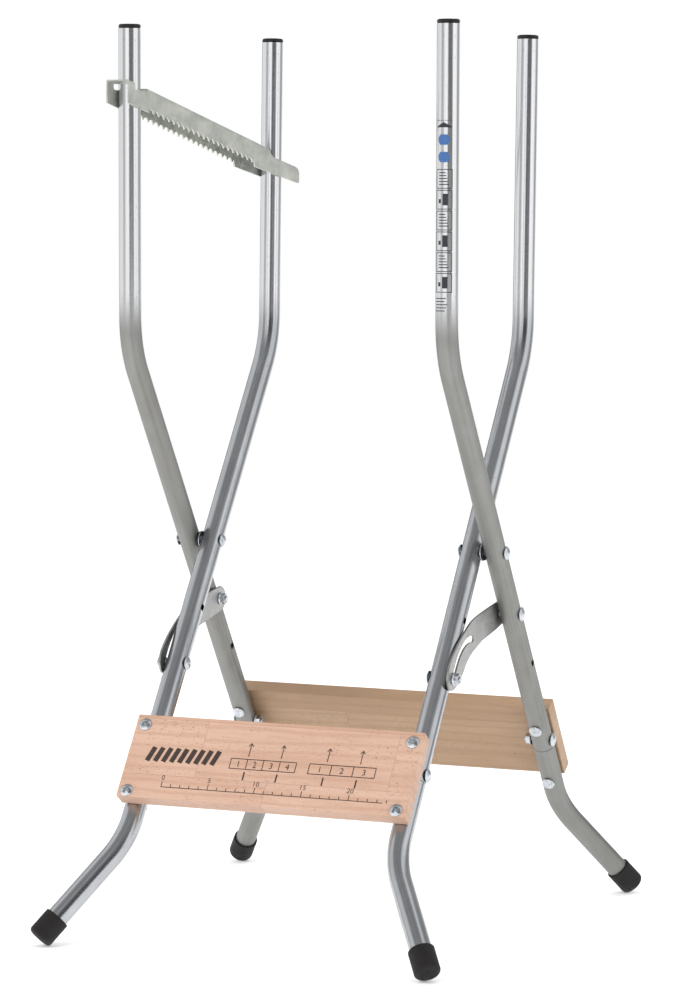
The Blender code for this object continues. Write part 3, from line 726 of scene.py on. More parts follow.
def buildLeg(kind, side):
    sign = sides[side]
    body = f"{kind}_frame"
    upper = onLeg(kind, sign, tube["upperRun"])
    lower = onLeg(kind, sign, -tube["lowerRun"])
    top = upper + prongAxis(kind) * tube["prongRun"]
    down = footAxis(kind, sign)
    end = lower + down * tube["footRun"]
    rim = onLeg(kind, sign, tube["rimAt"])
    tools = legDrillings(kind, sign)

    path = bentPath([top, upper, rim], tube["bendRadius"], 5 * mm)
    leg = hollowTube(f"{kind}LegTube", path, np.full(len(path), tube["radius"]), tube["wall"])
    addPiece(f"{kind}_leg_tube_{side}", cutMesh(leg, tools), finishes[kind], body,
             [f"{kind}_leg_{side}"], 30)

    # the foot tube is drawn down where it slides into the leg, with a short shoulder at the rim
    shoulder = onLeg(kind, sign, tube["rimAt"] - air)
    plugEnd = onLeg(kind, sign, tube["plugAt"])
    tubeEnd = lower + down * (tube["footRun"] - footLook["floor"] - air)
    plug = np.linspace(plugEnd, shoulder + slantUp(kind) * 0.1 * mm, 12)
    lowerPath = bentPath([shoulder, lower, tubeEnd], tube["bendRadius"], 4 * mm)
    reduced = tube["bore"] - 0.6 * mm
    radii = np.concatenate([np.full(12, reduced), np.full(len(lowerPath), tube["radius"])])
    radii[12] = tube["radius"] - 0.5 * mm
    lowerPath[1] = lowerPath[0] + (lowerPath[1] - lowerPath[0]) * 0.12
    foot = hollowTube(f"{kind}FootTube", np.vstack([plug, lowerPath]), radii, tube["wall"])
    addPiece(f"{kind}_lower_tube_{side}", cutMesh(foot, tools), finishes[kind], body,
             [f"{kind}_foot_tube_{side}"], 30)

    h, e, r = capLook["height"], capLook["edge"], tube["radius"]
    capProfile = [(0, h), (0.35 * r, h - 0.05 * mm), (r - e - 0.3 * mm, h - 0.12 * mm)]
    capProfile += arcPoints(r - e, h - e - 0.12 * mm, e, math.pi / 2, 0, 8).tolist()
    capProfile += [(r, 0.5 * mm), (r - 0.3 * mm, air), (tube["bore"] - 0.5 * mm, air)]
    for rib in range(4):  # ribs that grip the bore
        z = -1.5 * mm - rib * 2.6 * mm
        capProfile += [(tube["bore"] - 1.1 * mm, z + 0.9 * mm), (tube["bore"] - 0.45 * mm, z),
                       (tube["bore"] - 1.1 * mm, z - 0.5 * mm)]
    capProfile += [(tube["bore"] - 1.6 * mm, -capLook["plug"]), (0, -capLook["plug"])]
    addPiece(f"{kind}_end_cap_{side}", lathe("endCap", capProfile, placeAt(top, prongAxis(kind)), 48),
             finishes["plastic"], body, [f"{kind}_cap_{side}"])

    addPiece(f"{kind}_ferrule_{side}", lathe("rubberFoot", footProfile(), placeAt(end, -down), 64),
             finishes["rubber"], body, [f"{kind}_rubber_foot_{side}"])


def headProfile(radius, height, lip=0.7 * mm):
    # from the crown down to the underside: a shallow dome on a short upright lip
    rise = height - lip
    bulge = (radius ** 2 + rise ** 2) / (2 * rise)
    spread = math.asin(radius / bulge)
    a = np.linspace(0, spread, 12)
    dome = np.stack([bulge * np.sin(a), lip + bulge * np.cos(a) - (bulge - rise)], -1)
    return dome.tolist() + [(radius + 0.05 * mm, lip * 0.5), (radius - 0.2 * mm, 0.0)]


def threadedBolt(name, head, shank, length, thread, place):
    # head profile, then a shank whose last stretch carries a helical thread:
    # radius = mean - depth * triangle wave of (height / pitch - turns round)
    pitch, depth = 1.0 * mm, 0.3 * mm
    columns = 36
    angle = np.linspace(0, 2 * math.pi, columns + 1)
    rows = np.linspace(-length + 0.6 * mm, -length + thread, max(4, int(thread / pitch * 7)))
    wave = np.abs(((rows[:, None] / pitch - angle / (2 * math.pi)) % 1.0) * 2 - 1)
    runOut = 1.2 * mm
    fade = smoothStep((-length + thread - rows) / runOut) * smoothStep((rows + length) / runOut)
    ridge = shank - depth * wave * fade[:, None]
    headRows = np.asarray(head)
    ones = np.ones((1, columns + 1))
    r = np.concatenate([headRows[:, :1] * ones, shank * ones, ridge[::-1],
                        (shank - 0.8 * mm) * ones, 0 * ones])
    z = np.concatenate([headRows[:, 1], [0.0], rows[::-1], [-length, -length]])
    grid = np.stack([r * np.cos(angle), r * np.sin(angle), z[:, None] + 0 * r], -1)
    return surface(name, moved(grid, place))


def flangeNut(name, place, height=6 * mm, across=10 * mm, flange=6.6 * mm, bore=3.3 * mm):
    # round flange, six flats: radius = half width / cos(angle within the flat), corners chamfered
    columns = 96
    angle = np.linspace(0, 2 * math.pi, columns + 1)
    hexagon = across / 2 / np.cos((angle + math.pi / 6) % (math.pi / 3) - math.pi / 6)
    ones = np.ones_like(angle)
    chamfer = across / 2 * 1.01
    drop = np.clip(hexagon - chamfer, 0, None) * 0.62
    rows = [
        (bore, 0.4 * mm), (bore + 0.4 * mm, 0), (flange - 0.3 * mm, 0),
        (flange, 0.3 * mm), (flange - 0.15 * mm, 0.75 * mm),
        (np.maximum(hexagon, 5.5 * mm) + 0.1 * mm, 1.35 * mm), (hexagon, 1.7 * mm),
        (hexagon, height - drop - 0.15 * mm), (np.minimum(hexagon, chamfer) - 0.1 * mm, height),
        (bore + 0.5 * mm, height), (bore, height - 0.5 * mm), (bore, 0.4 * mm),
    ]
    r = np.array([row[0] * ones for row in rows])
    z = np.array([row[1] * ones for row in rows])
    grid = np.stack([r * np.cos(angle), r * np.sin(angle), z], -1)
    return surface(name, moved(grid, place))


def crossHead(name, radius, height, shank, length, place):
    # domed head whose top is sunk by a cross: depth * (arm along X or arm along Y), tapered
    columns = 96
    angle = np.linspace(0, 2 * math.pi, columns + 1)
    ringRadii = np.concatenate([np.linspace(0, 0.62, 26), np.linspace(0.66, 1, 8)]) * radius
    rise = height - 0.6 * mm
    bulge = (radius ** 2 + rise ** 2) / (2 * rise)
    x = ringRadii[:, None] * np.cos(angle)
    y = ringRadii[:, None] * np.sin(angle)
    top = 0.6 * mm + np.sqrt(bulge ** 2 - ringRadii ** 2)[:, None] - (bulge - rise) + 0 * x
    armLength, armWidth = 0.50 * radius, 0.115 * radius

    def arm(a, b):
        along = 1 - smoothStep((np.abs(a) - armLength) / (0.5 * mm))
        return along * (1 - smoothStep((np.abs(b) - armWidth) / (0.35 * mm)))

    recess = np.maximum(arm(x, y), arm(y, x)) * (1 - 0.45 * np.hypot(x, y) / armLength).clip(0.35, 1)
    grid = np.stack([x, y, top - 1.9 * mm * recess], -1)
    shankPart = [(radius + 0.05 * mm, 0.3 * mm), (radius - 0.2 * mm, 0), (shank, 0),
                 (shank, -length + 0.8 * mm), (shank - 0.8 * mm, -length), (0, -length)]
    more = np.array([[(r * math.cos(a), r * math.sin(a), z) for a in angle] for r, z in shankPart])
    return surface(name, moved(np.concatenate([grid, more]), place))


def sleeveNut(name, place, radius=6.7 * mm, barrel=3.9 * mm, bore=2.9 * mm):
    # wide flat head with a slightly crowned top, and a barrel that goes into the tube
    profile = [(0, 2.15 * mm), (radius * 0.6, 2.05 * mm), (radius - 1.2 * mm, 1.85 * mm),
               (radius - 0.4 * mm, 1.45 * mm), (radius, 0.9 * mm), (radius, 0.25 * mm),
               (radius - 0.25 * mm, 0), (barrel, 0), (barrel, -9.6 * mm),
               (barrel - 0.4 * mm, -10 * mm), (bore, -10 * mm), (bore, -mm), (0, -mm)]
    return lathe(name, profile, place, 48)


def squareNeckBolt(name, radius, height, length, thread, place):
    bolt = threadedBolt(name, headProfile(radius, height), 3 * mm, length, thread, np.eye(4))
    half = 2.9 * mm
    neck = prism("neck", np.array(quarters) * half, -3.4 * mm, 0.1 * mm, np.eye(4))
    made = cutMesh(bolt, neck, "UNION")
    made.transform(Matrix(place.tolist()))
    return made


def buildFasteners(kind, side):
    sign = sides[side]
    body = f"{kind}_frame"
    zinc = finishes["fastener"]
    radius = tube["radius"]
    toX = np.array([1.0, 0.0, 0.0])
    up = slantUp(kind)
    # brace bolt: its head faces away from the gap between the legs, its thread points into it
    head = sign if kind == "outer" else -sign
    at = frames[kind]["holeForBrace"]
    toPlate = tube["legGap"] / 2 + 1.3 * mm
    length = 2 * radius + toPlate + 8 * mm
    place = placeAt(onLeg(kind, sign, at, 0, head * (radius + air)), toX * head, up)
    bolt = squareNeckBolt("carriageBolt", 7.2 * mm, 3.2 * mm, length, 12 * mm, place)
    addPiece(f"{kind}_carriage_bolt_{side}", bolt, zinc, body,
             [f"{kind}_brace_bolt_{side}"])
    place = placeAt(onLeg(kind, sign, at, 0, -head * (radius + toPlate)), -toX * head, up)
    addPiece(f"{kind}_brace_flange_nut_{side}", flangeNut("flangeNut", place), zinc, body,
             [f"{kind}_brace_nut_{side}"], 28)

    at = spots["jointBolt"]
    length = 2 * radius + 8.5 * mm
    place = placeAt(onLeg(kind, sign, at, 0, sign * (radius + air)), toX * sign, up)
    bolt = threadedBolt("jointBolt", headProfile(7.1 * mm, 3.2 * mm), 3 * mm, length, 11 * mm, place)
    addPiece(f"{kind}_telescope_bolt_{side}", bolt, zinc, body,
             [f"{kind}_joint_bolt_{side}"])
    place = placeAt(onLeg(kind, sign, at, 0, -sign * (radius + air)), -toX * sign, up)
    addPiece(f"{kind}_telescope_nut_{side}", flangeNut("telescopeNut", place), zinc, body,
             [f"{kind}_joint_nut_{side}"], 28)

    board = frames[kind]["board"]
    out = slantOut(kind)
    for order, level in enumerate(("upper", "lower")):
        at = spots[f"{level}Screw"]
        turn = math.radians(22 + 31 * order + (17 if side == "left" else 0))
        hint = toX * math.cos(turn) + up * math.sin(turn)
        place = placeAt(onLeg(kind, sign, at, boardLook["far"] + air), out, hint)
        screw = crossHead("crossHeadScrew", 6.6 * mm, 3.5 * mm, 2.6 * mm, boardLook["far"] + 8 * mm, place)
        addPiece(f"{board}_cross_screw_{level}_{side}", screw, zinc, body,
                 [f"{board}_board_screw_{level}_{side}"], 50)
        place = placeAt(onLeg(kind, sign, at, -(radius + air)), -out, toX)
        addPiece(f"{board}_barrel_nut_{level}_{side}", sleeveNut("barrelNut", place), zinc, body,
                 [f"{board}_sleeve_nut_{level}_{side}"])


boardLook = {
    "near": 11.3 * mm,
    "far": 28 * mm,
    "top": -219.5 * mm,
    "bottom": -311 * mm,
    "edge": 1.2 * mm,
    "cup": 0.06 * mm,
    "hole": 2.95 * mm,
    "length": {"front": 308 * mm, "rear": 358 * mm},
}


def buildBoard(kind):
    # a rounded rectangle drawn along X; near each end it shrinks round a quarter circle, and the
    # long faces cup by a few hundredths of a millimetre between their edges
    board = frames[kind]["board"]
    e = boardLook["edge"]
    halfT = (boardLook["far"] - boardLook["near"]) / 2
    halfW = (boardLook["top"] - boardLook["bottom"]) / 2
    halfL = boardLook["length"][board] / 2
    ring = []
    for k, (t, w) in enumerate(quarters):
        a = k * math.pi / 2
        ring.append(arcPoints(t * (halfT - e), w * (halfW - e), e, a, a + math.pi / 2, 5))
        flatRun = np.linspace(0.01, 0.99, 21 if t * w > 0 else 7)[:, None]
        nextT, nextW = quarters[(k + 1) % 4]
        startPoint = ring[-1][-1]
        endAngle = a + math.pi / 2
        endPoint = np.array([nextT * (halfT - e), nextW * (halfW - e)])
        endPoint = endPoint + e * np.array([math.cos(endAngle), math.sin(endAngle)])
        ring.append(startPoint + (endPoint - startPoint) * flatRun)
    ring = np.vstack(ring)
    ring = np.vstack([ring, ring[:1]])
    onFace = np.abs(ring[:, 0]) > halfT - 0.01 * mm
    bow = -boardLook["cup"] * (1 - (ring[:, 1] / halfW) ** 2) * np.sign(ring[:, 0])
    ring[:, 0] += bow * onFace
    quarter = np.linspace(0, math.pi / 2, 6)
    shrink = np.concatenate([e * (1 - np.sin(quarter)), [0.0]])
    stations = np.concatenate([-halfL + e * (1 - np.cos(quarter)), [-halfL + e + 0.8 * mm]])
    middle = np.linspace(-halfL + 6 * mm, halfL - 6 * mm, 60)
    xs = np.concatenate([stations, middle, -stations[::-1]])
    inset = np.concatenate([shrink, np.zeros(len(middle)), shrink[::-1]])
    factor = np.stack([1 - inset / halfT, 1 - inset / halfW], -1)
    section = ring[None] * factor[:, None]
    ends = [section[:1] * s for s in (0.0, 0.5, 0.97)]
    section = np.concatenate([*ends, section, *[section[-1:] * s for s in (0.97, 0.5, 0.0)]])
    xs = np.concatenate([np.full(3, xs[0]), xs, np.full(3, xs[-1])])
    centreOut = (boardLook["far"] + boardLook["near"]) / 2
    centreUp = (boardLook["top"] + boardLook["bottom"]) / 2
    grid = pivotPoint + xs[:, None, None] * np.array([1.0, 0, 0])
    grid = grid + (centreOut + section[..., :1]) * slantOut(kind)
    grid = grid + (centreUp + section[..., 1:]) * slantUp(kind)
    mesh = surface(f"{board}Board", grid)
    drills = []
    for sign in sides.values():
        for at in (spots["upperScrew"], spots["lowerScrew"]):
            place = placeAt(onLeg(kind, sign, at), slantOut(kind))
            drills.append(roundBar("drill", boardLook["hole"], 5 * mm, 40 * mm, place))
    mesh = cutMesh(mesh, joinMeshes("boardHoles", drills))
    addPiece(f"{board}_tie_board", mesh, finishes[f"{board}Wood"], f"{kind}_frame",
             [f"{board}_board"], 50)


printLook = {
    "thick": 0.85 * mm, "lift": 0.04 * mm, "sink": 0.08 * mm,
    # the scale
    "baseline": -0.298, "from": -0.108, "to": 0.128, "tick": 0.01, "every": 5,
    "tall": 6.2 * mm, "short": 3.4 * mm, "figureUp": 7.8 * mm, "figure": 7.5 * mm,
    # the slanted bars
    "bars": 9, "barsFrom": -0.131, "barStep": 8.8 * mm, "barLean": 5.2 * mm,
    "barLow": -0.2705, "barHigh": -0.2550, "barWidth": 5.4 * mm,
    # the divided bars: middle and number of cells of each
    "ladders": ((-0.006, 4), (0.078, 3)), "ladderHalf": 0.035,
    "ladderLow": -0.2725, "ladderHigh": -0.2615, "cellFigureUp": 2.4 * mm, "cellFigure": 9 * mm,
    "arrowFrom": 3 * mm, "arrowTo": 17 * mm, "barb": 2.4 * mm, "stem": 0.9 * mm,
}


def inkStrip(x0, s0, x1, s1, width):
    # one flat stroke on the front board's face, between two points along X and up the slant
    kind = "inner"
    a = np.array([x0, s0])
    b = np.array([x1, s1])
    side = unit(np.array([-(b - a)[1], (b - a)[0]])) * width / 2
    corners = np.array([a - side, b - side, b + side, a + side])

    def layer(depth):
        flat = corners[:, :1] * np.array([1.0, 0, 0]) + corners[:, 1:] * slantUp(kind)
        return pivotPoint + flat + (boardLook["far"] + depth) * slantOut(kind)

    low, high = layer(-printLook["sink"]), layer(printLook["lift"])
    centreLow, centreHigh = low.mean(0, keepdims=True), high.mean(0, keepdims=True)
    rows = [np.repeat(centreLow, 5, 0), np.vstack([low, low[:1]]),
            np.vstack([high, high[:1]]), np.repeat(centreHigh, 5, 0)]
    return surface("stroke", np.array(rows))


def digits(text, x, s, size):
    # figures of a scale, from Blender's own font, as a thin solid on the face
    curve = bpy.data.curves.new("figures", "FONT")
    curve.body = text
    curve.size = size
    curve.align_x = "CENTER"
    curve.extrude = printLook["lift"]
    curve.resolution_u = 3
    mesh = curveMesh(curve)
    along, up, out = np.array([1.0, 0, 0]), slantUp("inner"), slantOut("inner")
    place = np.eye(4)
    place[:3, 0], place[:3, 1], place[:3, 2] = along, up, out
    place[:3, 3] = pivotPoint + x * along + s * up + boardLook["far"] * out
    mesh.transform(Matrix(place.tolist()))
    return mesh


def buildPrint():
    # a plain centimetre scale, two divided bars with arrows, and a row of slanted bars
    look = printLook
    strokes = []
    base, thick, stem = look["baseline"], look["thick"], look["stem"]
    strokes.append(inkStrip(look["from"], base, look["to"], base, thick))
    count = int(round((look["to"] - look["from"]) / look["tick"]))
    for i in range(count + 1):
        x = look["from"] + i * look["tick"]
        numbered = i % look["every"] == 0
        tall = look["tall"] if numbered else look["short"]
        strokes.append(inkStrip(x, base, x, base + tall, thick))
        if numbered:
            strokes.append(digits(str(i), x, base + look["figureUp"], look["figure"]))
    for i in range(look["bars"]):
        x = look["barsFrom"] + i * look["barStep"]
        strokes.append(inkStrip(x, look["barLow"], x + look["barLean"], look["barHigh"], look["barWidth"]))
    half, low, high = look["ladderHalf"], look["ladderLow"], look["ladderHigh"]
    for centre, cells in look["ladders"]:
        for s in (low, high):
            strokes.append(inkStrip(centre - half, s, centre + half, s, thick))
        for i in range(cells + 1):
            x = centre - half + 2 * half * i / cells
            strokes.append(inkStrip(x, low, x, high, thick))
        for i in range(cells):
            x = centre - half + 2 * half * (i + 0.5) / cells
            strokes.append(digits(str(i + 1), x, low + look["cellFigureUp"], look["cellFigure"]))
        for x in (centre - half / 2, centre + half / 2):
            strokes.append(inkStrip(x, high + look["arrowFrom"], x, high + look["arrowTo"], stem))
            for turn in (-1, 1):  # the arrow's two barbs
                strokes.append(inkStrip(x + turn * look["barb"], high + 14.2 * mm,
                                        x - turn * 0.2 * mm, high + 17.8 * mm, stem))
            strokes.append(inkStrip(x, low - 3 * mm, x, low - 12 * mm, 1.6 * mm))
    addPiece("front_board_scale_print", joinMeshes("scalePrint", strokes), finishes["print"], "inner_frame")


plateLook = {"thick": 2.0 * mm, "slotHalf": 3.4 * mm, "edge": 0.25 * mm, "hole": 3.35 * mm,
             "fold": math.radians(45), "turn": math.radians(16.5)}
slantSide = np.array([math.sin(tube["slant"]), math.cos(tube["slant"])])
hingeSpot = spots["upperHole"] * slantSide * [-1, 1]
pinSpot = spots["lowerHole"] * slantSide


def rotated(points, angle):
    # points in Y and Z turned about X; angle may be one number or one for each point
    y, z = points[..., 0], points[..., 1]
    return np.stack([y * np.cos(angle) - z * np.sin(angle), y * np.sin(angle) + z * np.cos(angle)], -1)


def slotPath(count):
    # where the inner leg's bolt lies in the plate as the frame folds: the bolt stays, the hinge
    # swings round the main pivot, and the plate turns in proportion to the fold
    share = np.linspace(0, 1, count)
    hinge = rotated(np.repeat(hingeSpot[None], count, 0), -plateLook["fold"] * share)
    return rotated(pinSpot - hinge, -plateLook["turn"] * share)


def smoothCurve(points, steps):
    # Catmull-Rom through the points, all stretches at once
    p = np.asarray(points, float)
    ends = np.vstack([p[:1], p, p[-1:]])
    a, b, c, d = ends[:-3], ends[1:-2], ends[2:-1], ends[3:]
    t = np.linspace(0, 1, steps, endpoint=False)[None, :, None]
    a, b, c, d = (q[:, None] for q in (a, b, c, d))
    square, cube = 2 * a - 5 * b + 4 * c - d, 3 * b - a - 3 * c + d
    curve = 0.5 * (2 * b + (c - a) * t + square * t ** 2 + cube * t ** 3)
    return np.vstack([curve.reshape(-1, 2), p[-1:]])


def buildBrace(side):
    # the plate is a grid between its back edge and its front edge, both running from the hinge
    # end to the tip, with eased edges; the slot and the hinge hole are then cut
    sign = sides[side]
    hingeEnd = arcPoints(0, 0, 13 * mm, math.radians(5), math.radians(85), 10)
    back = smoothCurve(np.array([(1.0, 13.0), (-38.5, 7.2), (-76.0, 0.0), (-100.4, -10.9),
                                 (-124.4, -26.2), (-140.0, -40.5), (-144.5, -52.5)]) * mm, 12)
    back = np.vstack([hingeEnd[:-1], back])
    lowEnd = arcPoints(0, 0, 13 * mm, math.radians(5), math.radians(-65), 8)
    front = smoothCurve(np.array([(-50.2, -23.2), (-66.0, -28.5), (-87.3, -37.2), (-108.0, -54.5),
                                  (-127.0, -64.0), (-139.5, -62.5), (-144.5, -52.5)]) * mm, 12)
    straight = np.linspace((-12.2 * mm, -16.1 * mm), front[0], 12, endpoint=False)
    front = np.vstack([lowEnd, straight, front])

    def evenly(line, count):
        run = runLength(line)
        s = np.linspace(0, run[-1], count)
        return np.stack([np.interp(s, run, line[:, k]) for k in (0, 1)], -1)

    count = 120
    top, bottom = evenly(back, count), evenly(front, count)
    across = np.concatenate([[0.0, 0.004], np.linspace(0.03, 0.97, 19), [0.996, 1.0]])
    half, e = plateLook["thick"] / 2, plateLook["edge"]
    flat = top[:, None] * (1 - across[:, None]) + bottom[:, None] * across[:, None]
    width = np.linalg.norm(top - bottom, axis=1)[:, None, None]
    inwards = unit(bottom - top + 1e-12)[:, None] * np.minimum(e, width / 2)
    # round the section: front face, over one edge, back face, over the other edge
    first, last = flat[:, :1], flat[:, -1:]
    frontFace = np.concatenate([first, first + inwards, flat[:, 1:-1], last - inwards, last], 1)
    depth = np.concatenate([[half - e, half], np.full(len(across) - 2, half), [half, half - e]])
    section = np.concatenate([frontFace, frontFace[:, ::-1], frontFace[:, :1]], 1)
    depths = np.concatenate([depth, -depth[::-1], depth[:1]])
    middleX = sign * (tube["outerX"] + tube["innerX"]) / 2
    grid = np.stack([middleX + depths[None] + 0 * section[..., 0], hingeSpot[0] + section[..., 0],
                     pivotHeight + hingeSpot[1] + section[..., 1]], -1)
    # both ends close on their own middle line
    firstRow = np.repeat(grid[:1].mean(1, keepdims=True), grid.shape[1], 1)
    lastRow = np.repeat(grid[-1:].mean(1, keepdims=True), grid.shape[1], 1)
    mesh = surface("bracePlate", np.concatenate([firstRow, grid, lastRow]))

    path = slotPath(24)
    direction = unit(np.gradient(path, axis=0))
    reach = plateLook["slotHalf"]
    normal = np.stack([-direction[:, 1], direction[:, 0]], -1) * reach
    far = math.atan2(direction[-1, 1], direction[-1, 0])
    near = math.atan2(direction[0, 1], direction[0, 0])
    outline = np.vstack([
        path + normal,
        arcPoints(*path[-1], reach, far + math.pi / 2, far - math.pi / 2, 12)[1:-1],
        (path - normal)[::-1],
        arcPoints(*path[0], reach, near - math.pi / 2, near - 3 * math.pi / 2, 12)[1:-1],
    ])
    m = np.eye(4)
    m[:3, 0], m[:3, 1], m[:3, 2] = (0, 1, 0), (0, 0, 1), (1, 0, 0)
    m[:3, 3] = (middleX, hingeSpot[0], pivotHeight + hingeSpot[1])
    slot = filledOutline("slot", outline, 6 * mm, m)
    mesh = cutMesh(mesh, slot)
    mesh = cutMesh(mesh, roundBar("hingeHole", plateLook["hole"], -4 * mm, 4 * mm, m))
    addPiece(f"brace_slotted_plate_{side}", mesh, finishes["plate"], f"brace_{side}",
             [f"brace_plate_{side}"], 30)


def filledOutline(name, outline, thick, place):
    # an outline of any shape filled flat and drawn to a thickness, centred on the place's plane
    curve = bpy.data.curves.new(name, "CURVE")
    curve.dimensions = "2D"
    curve.fill_mode = "BOTH"
    curve.extrude = thick / 2
    spline = curve.splines.new("POLY")
    spline.points.add(len(outline) - 1)
    flat = np.column_stack([outline, np.zeros(len(outline)), np.ones(len(outline))])
    spline.points.foreach_set("co", flat.astype(np.float32).ravel())
    spline.use_cyclic_u = True
    mesh = curveMesh(curve)
    work = bmesh.new()
    work.from_mesh(mesh)
    bmesh.ops.remove_doubles(work, verts=work.verts, dist=0.00001)
    bmesh.ops.recalc_face_normals(work, faces=work.faces)
    work.to_mesh(mesh)
    work.free()
    mesh.transform(Matrix(place.tolist()))
    return mesh


railLook = {
    "heading": (0.0876, 0.9962),
    "height": 843.6 * mm,
    "fall": 0.2144,
    "inside": 23 * mm,
    "sheet": 1.5 * mm,
    "front": -23 * mm,
    "webEnd": 257 * mm,
    "depth": 22.8 * mm,
    "toothFirst": 15.5 * mm,
    "pitch": 10 * mm,
    "toothDepth": 4 * mm,
    "teeth": 22,
    "bend": 1.3 * mm,
}


def railLower(u):
    # lower edge: teeth with round gullets between sharp tips, plain in front and behind them
    look = railLook
    along = (u - look["toothFirst"]) / look["pitch"]
    inTeeth = (along > 0) & (along < look["teeth"] - 1 + 0.55)
    phase = along % 1.0
    # up fast from each tip, round over the gullet, and back down to the next tip
    gullet = np.where(phase < 0.55, phase / 0.55, (1 - phase) / 0.45)
    rise = look["toothDepth"] * np.sin(np.clip(gullet, 0, 1) * math.pi / 2) ** 0.8
    plain = -look["fall"] * u - look["depth"]
    behind = -75.6 * mm + (u - 231 * mm) * (-15.6 / 92)
    return np.where(inTeeth, plain + rise, np.where(along >= look["teeth"] - 0.45, behind, plain))


def railUpper(u):
    # upper edge: the folded web's line, then a step down to the open tongue and its round end
    look = railLook
    line = -look["fall"] * u
    tongue = -64.8 * mm - (u - 272 * mm) * 0.190
    step = smoothStep((u - look["webEnd"]) / (16 * mm))
    over = np.clip((u - 320 * mm) / (7 * mm), 0, 1)
    return line * (1 - step) + tongue * step - 5.0 * mm * (1 - np.sqrt(1 - over ** 2))


def buildRail():
    # an inverted channel: its section goes up the outside of one strip, round the fold, over the
    # web, down the other strip, and back inside; it is carried along the rail, then cut open
    look = railLook
    withinTooth = np.array([0, 0.08, 0.2, 0.35, 0.55, 0.7, 0.82, 0.92])
    teethU = (np.arange(look["teeth"])[:, None] + withinTooth).ravel()
    teethU = look["toothFirst"] + look["pitch"] * teethU
    u = np.unique(np.round(np.concatenate([
        np.linspace(look["front"], look["toothFirst"], 14), teethU[teethU < 232 * mm],
        np.linspace(231 * mm, look["webEnd"], 10), np.linspace(look["webEnd"], 273 * mm, 14),
        np.linspace(273 * mm, 320 * mm, 16), 320 * mm + 7 * mm * np.sin(np.linspace(0, math.pi / 2, 10)),
    ]), 7))
    top, low = railUpper(u), railLower(u)
    low = low + 2.5 * mm * (1 - np.sqrt(1 - np.clip((u - 322 * mm) / (5 * mm), 0, 0.98) ** 2))
    t, b = look["sheet"], look["bend"]
    w = look["inside"] / 2 + t
    quarter = np.linspace(0, math.pi / 2, 5)
    # across the rail, and below its top
    outCorner = np.stack([-(w - b) - b * np.cos(quarter), -b + b * np.sin(quarter)], -1)
    inB = 0.4 * mm
    inCorner = np.stack([(w - t - inB) + inB * np.sin(quarter), -t - inB + inB * np.cos(quarter)], -1)
    slope = math.hypot(1, look["fall"])
    upTo = np.array([0.0, 0.02, 0.3, 0.6, 0.9])
    rows = []
    reachTop = top - b * slope
    for v in upTo:  # outer face of the first strip, from its lower edge up
        rows.append((np.full_like(u, -w), low * (1 - v) + reachTop * v))
    for y, z in outCorner:
        rows.append((np.full_like(u, y), top + z * slope))
    for y, z in outCorner[::-1]:
        rows.append((np.full_like(u, -y), top + z * slope))
    for v in upTo[::-1]:
        rows.append((np.full_like(u, w), low * (1 - v) + reachTop * v))
    innerTop = np.maximum(top - (t + inB) * slope, low + 0.5 * mm)
    for v in upTo:
        rows.append((np.full_like(u, w - t), low * (1 - v) + innerTop * v))
    for y, z in inCorner[::-1]:
        rows.append((np.full_like(u, y), np.maximum(top + z * slope, low + 0.6 * mm)))
    for y, z in inCorner:
        rows.append((np.full_like(u, -y), np.maximum(top + z * slope, low + 0.6 * mm)))
    for v in upTo[::-1]:
        rows.append((np.full_like(u, -(w - t)), low * (1 - v) + innerTop * v))
    rows.append(rows[0])
    y = np.array([row[0] for row in rows])
    z = np.array([row[1] for row in rows])
    section = np.stack([np.broadcast_to(u, y.shape), y, z], -1)
    place = railPlace()
    # both ends are closed through the sheet's own thickness: outside points meet inside ones
    half = (len(rows) - 1) // 2
    ends = []
    for k in (0, -1):
        ring = section[:, k]
        inside = ring[half:2 * half]
        partner = np.concatenate([inside[::-1], ring[:half][::-1], inside[-1:]])
        ends.append((ring + partner) / 2)
    section = np.concatenate([ends[0][:, None], section, ends[1][:, None]], 1)
    mesh = surface("toothedRail", moved(section, place))

    window = np.array([(-11.5, 16.6), (-11.5, -2.2), (-10.6, -3.9), (-9.0, -4.4),
                       (11.0, -5.0), (12.9, -4.2), (13.4, -2.9), (13.4, 16.6)]) * mm
    side = place.copy()
    side[:3, 1], side[:3, 2] = place[:3, 2], -place[:3, 1]
    mesh = cutMesh(mesh, filledOutline("prongWindow", window, 40 * mm, side))
    openEnd = np.array([(look["webEnd"], -125 * mm), (look["webEnd"] + 110 * mm, -125 * mm),
                        (look["webEnd"] + 110 * mm, 0.0), (look["webEnd"], 0.0)])
    mesh = cutMesh(mesh, filledOutline("openEnd", openEnd, look["inside"] - 0.02 * mm, side))
    addPiece("toothed_log_rail", mesh, finishes["rail"], "toothed_rail",
             ["toothed_rail"], 28)


def prongPoint(kind, sign, height):
    upper = onLeg(kind, sign, tube["upperRun"])
    return upper + prongAxis(kind) * (height - upper[2]) / math.cos(tube["prongLean"])


def railPlace():
    x = unit([*railLook["heading"], 0.0])
    m = np.eye(4)
    m[:3, 0], m[:3, 1], m[:3, 2] = x, (-x[1], x[0], 0), (0, 0, 1)
    m[:3, 3] = prongPoint("outer", -1, railLook["height"])
    return m


rivetLook = {"radius": 6.8 * mm, "height": 3.6 * mm, "shank": 4 * mm,
             "washer": 9.0 * mm, "spacer": 8.4 * mm}


